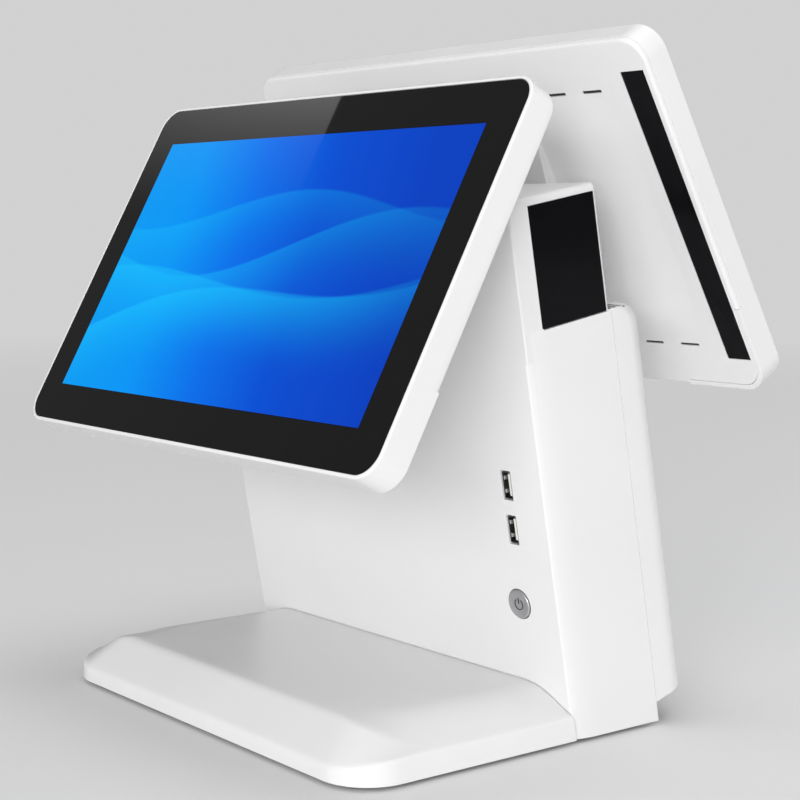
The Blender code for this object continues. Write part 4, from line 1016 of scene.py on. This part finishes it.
def build_usb():
    for word, height in zip(("upper", "lower"), USB_HEIGHTS):
        axes = COLUMN @ Matrix.Translation((PORT_X, 0, height))
        outer = rounded_rectangle(2.85 * MM, 6.55 * MM, 0.5 * MM, 4)
        inner = rounded_rectangle(2.5 * MM, 6.2 * MM, 0.3 * MM, 4)
        shell = plate_mesh([outer, inner], 0.5 * MM, 12.5 * MM, "XZ")
        back = centred_box((0, 12.8 * MM, 0), mm(5.6, 1.0, 13.0))
        shell, replaced = join(shell, back), [f"usb_shell_{word}"]
        # the shell takes the darker steel, painted shade inside the socket
        add_piece(f"usb_metal_{word}", shell, "base", "steel", axes, replaced, "dull_steel")
        tongue = box_mesh(mm(0.3, 1.1, -5.3), mm(2.1, 12.2, 5.3), 0.2 * MM)
        add_piece(f"usb_core_{word}", tongue, "base", "white_plastic", axes, [f"usb_tongue_{word}"])
        for number, place in enumerate((-3.5, -1.1, 1.1, 3.5), 1):
            low, high = mm(0.12, 2.0, place - 0.5), mm(0.32, 11.5, place + 0.5)
            contact = box_mesh(low, high, 0.05 * MM, 2)
            add_piece(f"usb_contact_{word}_{number}", contact, "base", "steel", axes, look="gold")
        for number, place in enumerate((-3.2, 3.2), 1):
            leaf = spring_leaf(place * MM)
            add_piece(f"usb_spring_{word}_{number}", leaf, "base", "steel", axes)


def spring_leaf(place):
    """A bent leaf that presses on a plug's shell."""
    outer = [(-2.48, 1.0), (-2.0, 1.6), (-1.55, 3.0), (-1.75, 4.5), (-2.45, 8.0)]
    inner = [(-2.48, 8.0), (-1.95, 4.5), (-1.75, 3.0), (-2.2, 1.75), (-2.5, 1.3)]
    outline = [mm(x, y) for x, y in outer + inner]
    return plate_mesh([outline], place - 0.9 * MM, place + 0.9 * MM)


# ---------------------------------------------------------------- camera, light and floor


def turned(first, second, angle):
    """A direction turned by an angle towards another that is square to it."""
    return math.cos(angle) * first + math.sin(angle) * second


def build_camera():
    yaw, pitch, roll = (math.radians(angle) for angle in (CAMERA_YAW, CAMERA_PITCH, CAMERA_ROLL))
    level = Vector((-math.sin(yaw), math.cos(yaw), 0))
    forward = turned(level, Vector((0, 0, -1)), pitch)
    right = Vector((math.cos(yaw), math.sin(yaw), 0))
    down = forward.cross(right)
    rolled_right = turned(right, down, roll)
    rolled_down = turned(down, -right, roll)
    rotation = Matrix((rolled_right, -rolled_down, -forward)).transposed()
    camera = new_object("camera", bpy.data.cameras.new("camera"))
    camera.matrix_world = Matrix.Translation(CAMERA_PLACE) @ rotation.to_4x4()
    camera.data.lens = CAMERA_LENS
    camera.data.sensor_width = 36.0
    camera.data.clip_start = 0.05
    bpy.context.scene.camera = camera


def area_light(name, place, target, width, height, power):
    data = bpy.data.lights.new(name, "AREA")
    data.shape = "RECTANGLE"
    data.size, data.size_y = width, height
    data.energy = power
    light = new_object(name, data)
    light.location = place
    light.rotation_euler = (Vector(target) - Vector(place)).to_track_quat("-Z", "Y").to_euler()
    light.visible_camera = False
    return light


def build_reflection_card():
    """A bright card that only the gloss sees: its edge crosses the front glass and it fades downwards."""
    away, above = 0.60, 0.10
    edge, far_edge, top, fade = 11.2 * MM, -190 * MM, 92 * MM, 25 * MM
    eye = FRONT.inverted() @ Vector(CAMERA_PLACE)
    reach = away / -eye.y

    def mirrored(x, z):
        """Where the line from the camera to this point of the glass meets the card once reflected."""
        return (x + (x - eye.x) * reach, z + (z - eye.z) * reach)

    right, high = mirrored(edge, top)
    _, low = mirrored(edge, fade)
    left, _ = mirrored(far_edge, top)
    high += above
    light = area_light("reflection_card", (0, 0, 0), (0, 0, -1), right - left, high - low, CARD_POWER)
    middle = Matrix.Translation(((left + right) / 2, -away, (low + high) / 2))
    light.matrix_world = FRONT @ middle @ Matrix.Rotation(math.pi / 2, 4, "X")
    light.visible_diffuse = False
    light.data.use_nodes = True
    graph = Graph(light.data.node_tree)
    place = graph.add("SeparateXYZ", Vector=graph.add("NewGeometry").outputs["Parametric"])
    up = graph.remap(place.outputs["Y"], 0.0, 1.0, 0.0, 0.85)
    across = graph.remap(place.outputs["X"], 0.25, 1.0, 0.0, 1.0)
    strength = graph.calculate("MULTIPLY", graph.calculate("POWER", up, 1.6), across)
    graph.feed_all(graph.nodes["Emission"], {"Strength": strength})


def build_world():
    """A white room, dimmer in reflections, so that the black gloss stays deep."""
    world = bpy.data.worlds.new("studio")
    bpy.context.scene.world = world
    world.use_nodes = True
    graph = Graph(world.node_tree)
    path = graph.add("LightPath")
    room = graph.mix(path.outputs["Is Glossy Ray"], ROOM_LIGHT, ROOM_IN_GLOSS, "FLOAT")
    seen = graph.mix(path.outputs["Is Camera Ray"], room, BACKDROP, "FLOAT")
    graph.feed_all(graph.nodes["Background"], {"Color": (1.0, 1.0, 1.0), "Strength": seen})


def floor_material():
    """A plain pale floor that fades into the backdrop with distance, so that no horizon shows."""
    material, graph = new_material("floor")
    graph.shade(Base_Color=(0.80, 0.80, 0.80), Roughness=0.9, Specular_IOR_Level=0.1)
    distance = graph.add("VectorMath")
    distance.operation = "LENGTH"
    graph.feed(graph.coordinates(), distance.inputs[0])
    far = graph.remap(distance.outputs["Value"], 0.0, 1.0, 0.45, 3.2)
    backdrop = graph.add("Emission", Strength=BACKDROP)
    faded = graph.add("MixShader", Fac=graph.calculate("POWER", far, 0.6))
    graph.feed(graph.nodes["Principled BSDF"].outputs["BSDF"], faded.inputs[1])
    graph.feed(backdrop.outputs["Emission"], faded.inputs[2])
    graph.feed(faded.outputs["Shader"], graph.nodes["Material Output"].inputs["Surface"])
    return material


def build_studio():
    bpy.context.scene.view_settings.view_transform = "Standard"
    build_world()
    lights = (  # name, place, side in metres, power in watts
        ("key", (1.26, -2.27, 0.81), 0.84, 16),
        ("fill", (1.85, -1.85, 0.40), 0.9, 31),
        ("overhead", (0.2, 0.3, 2.1), 1.2, 8),
        ("rear", (0.6, 1.7, 0.9), 1.4, 7),
    )
    for name, place, side, power in lights:
        area_light(name, place, (0, 0, 0.15), side, side, power)
    build_reflection_card()
    bm = bmesh.new()
    bmesh.ops.create_grid(bm, x_segments=1, y_segments=1, size=12.0)
    floor = new_object("floor", mesh_from(bm))
    floor.data.materials.append(floor_material())
    floor.location.z = -0.0002


# ---------------------------------------------------------------- everything


def finish_cad_nodes():
    """Gives every CAD node that still shows a detailed material in place of its plain one."""
    slots = {entry["node"]: entry["material_slot"] for entry in frame["record"]["subparts"]}
    for name, node in frame["nodes"].items():
        node.data.materials.clear()
        node.data.materials.append(LOOKS[slots[name]])


def main():
    LOOKS.update(
        white_shell=moulded_plastic("white_shell_grain", (0.845, 0.84, 0.845), 0.36, 0.30),
        gloss_black=gloss_black("gloss_black_trim"),
        screen_glass=screen_material("front_screen"),
        customer_screen=screen_material("customer_screen", turn=1.3),
        lcd=moulded_plastic("lcd_panel_edge", (0.03, 0.03, 0.032), 0.4, 0.2),
        rubber=rubber_material("foot_rubber"),
        dark_steel=metal("black_zinc", (0.10, 0.10, 0.11), 0.45),
        steel=metal("zinc_plate", (0.62, 0.62, 0.63), 0.32),
        # a darker steel for the USB socket shells: painted shade of the ports' recess
        dull_steel=metal("socket_shell", (0.22, 0.22, 0.22), 0.38, "Y"),
        gold=metal("gold_plate", (0.85, 0.60, 0.22), 0.22),
        matte_black=moulded_plastic("matte_black_plastic", (0.022, 0.022, 0.023), 0.55, 0.5),
        circuit_board=circuit_board("green_board"),
        aluminium=metal("aluminium", (0.78, 0.78, 0.79), 0.35, "Z"),
        white_plastic=moulded_plastic("socket_plastic", (0.86, 0.85, 0.81), 0.4, 0.2),
        button_metal=metal("blasted_aluminium", (0.66, 0.66, 0.67), 0.42, "X", 1500),
    )
    finish_cad_nodes()
    build_foot()
    build_column()
    build_side_panels()
    build_rear_cover()
    build_grille()
    build_display("front_display", FRONT, "screen_glass")
    build_display("customer_display", CUSTOMER, "customer_screen")
    build_hinge_cover()
    build_button()
    build_button_spring()
    build_usb()
    build_camera()
    build_studio()


main()
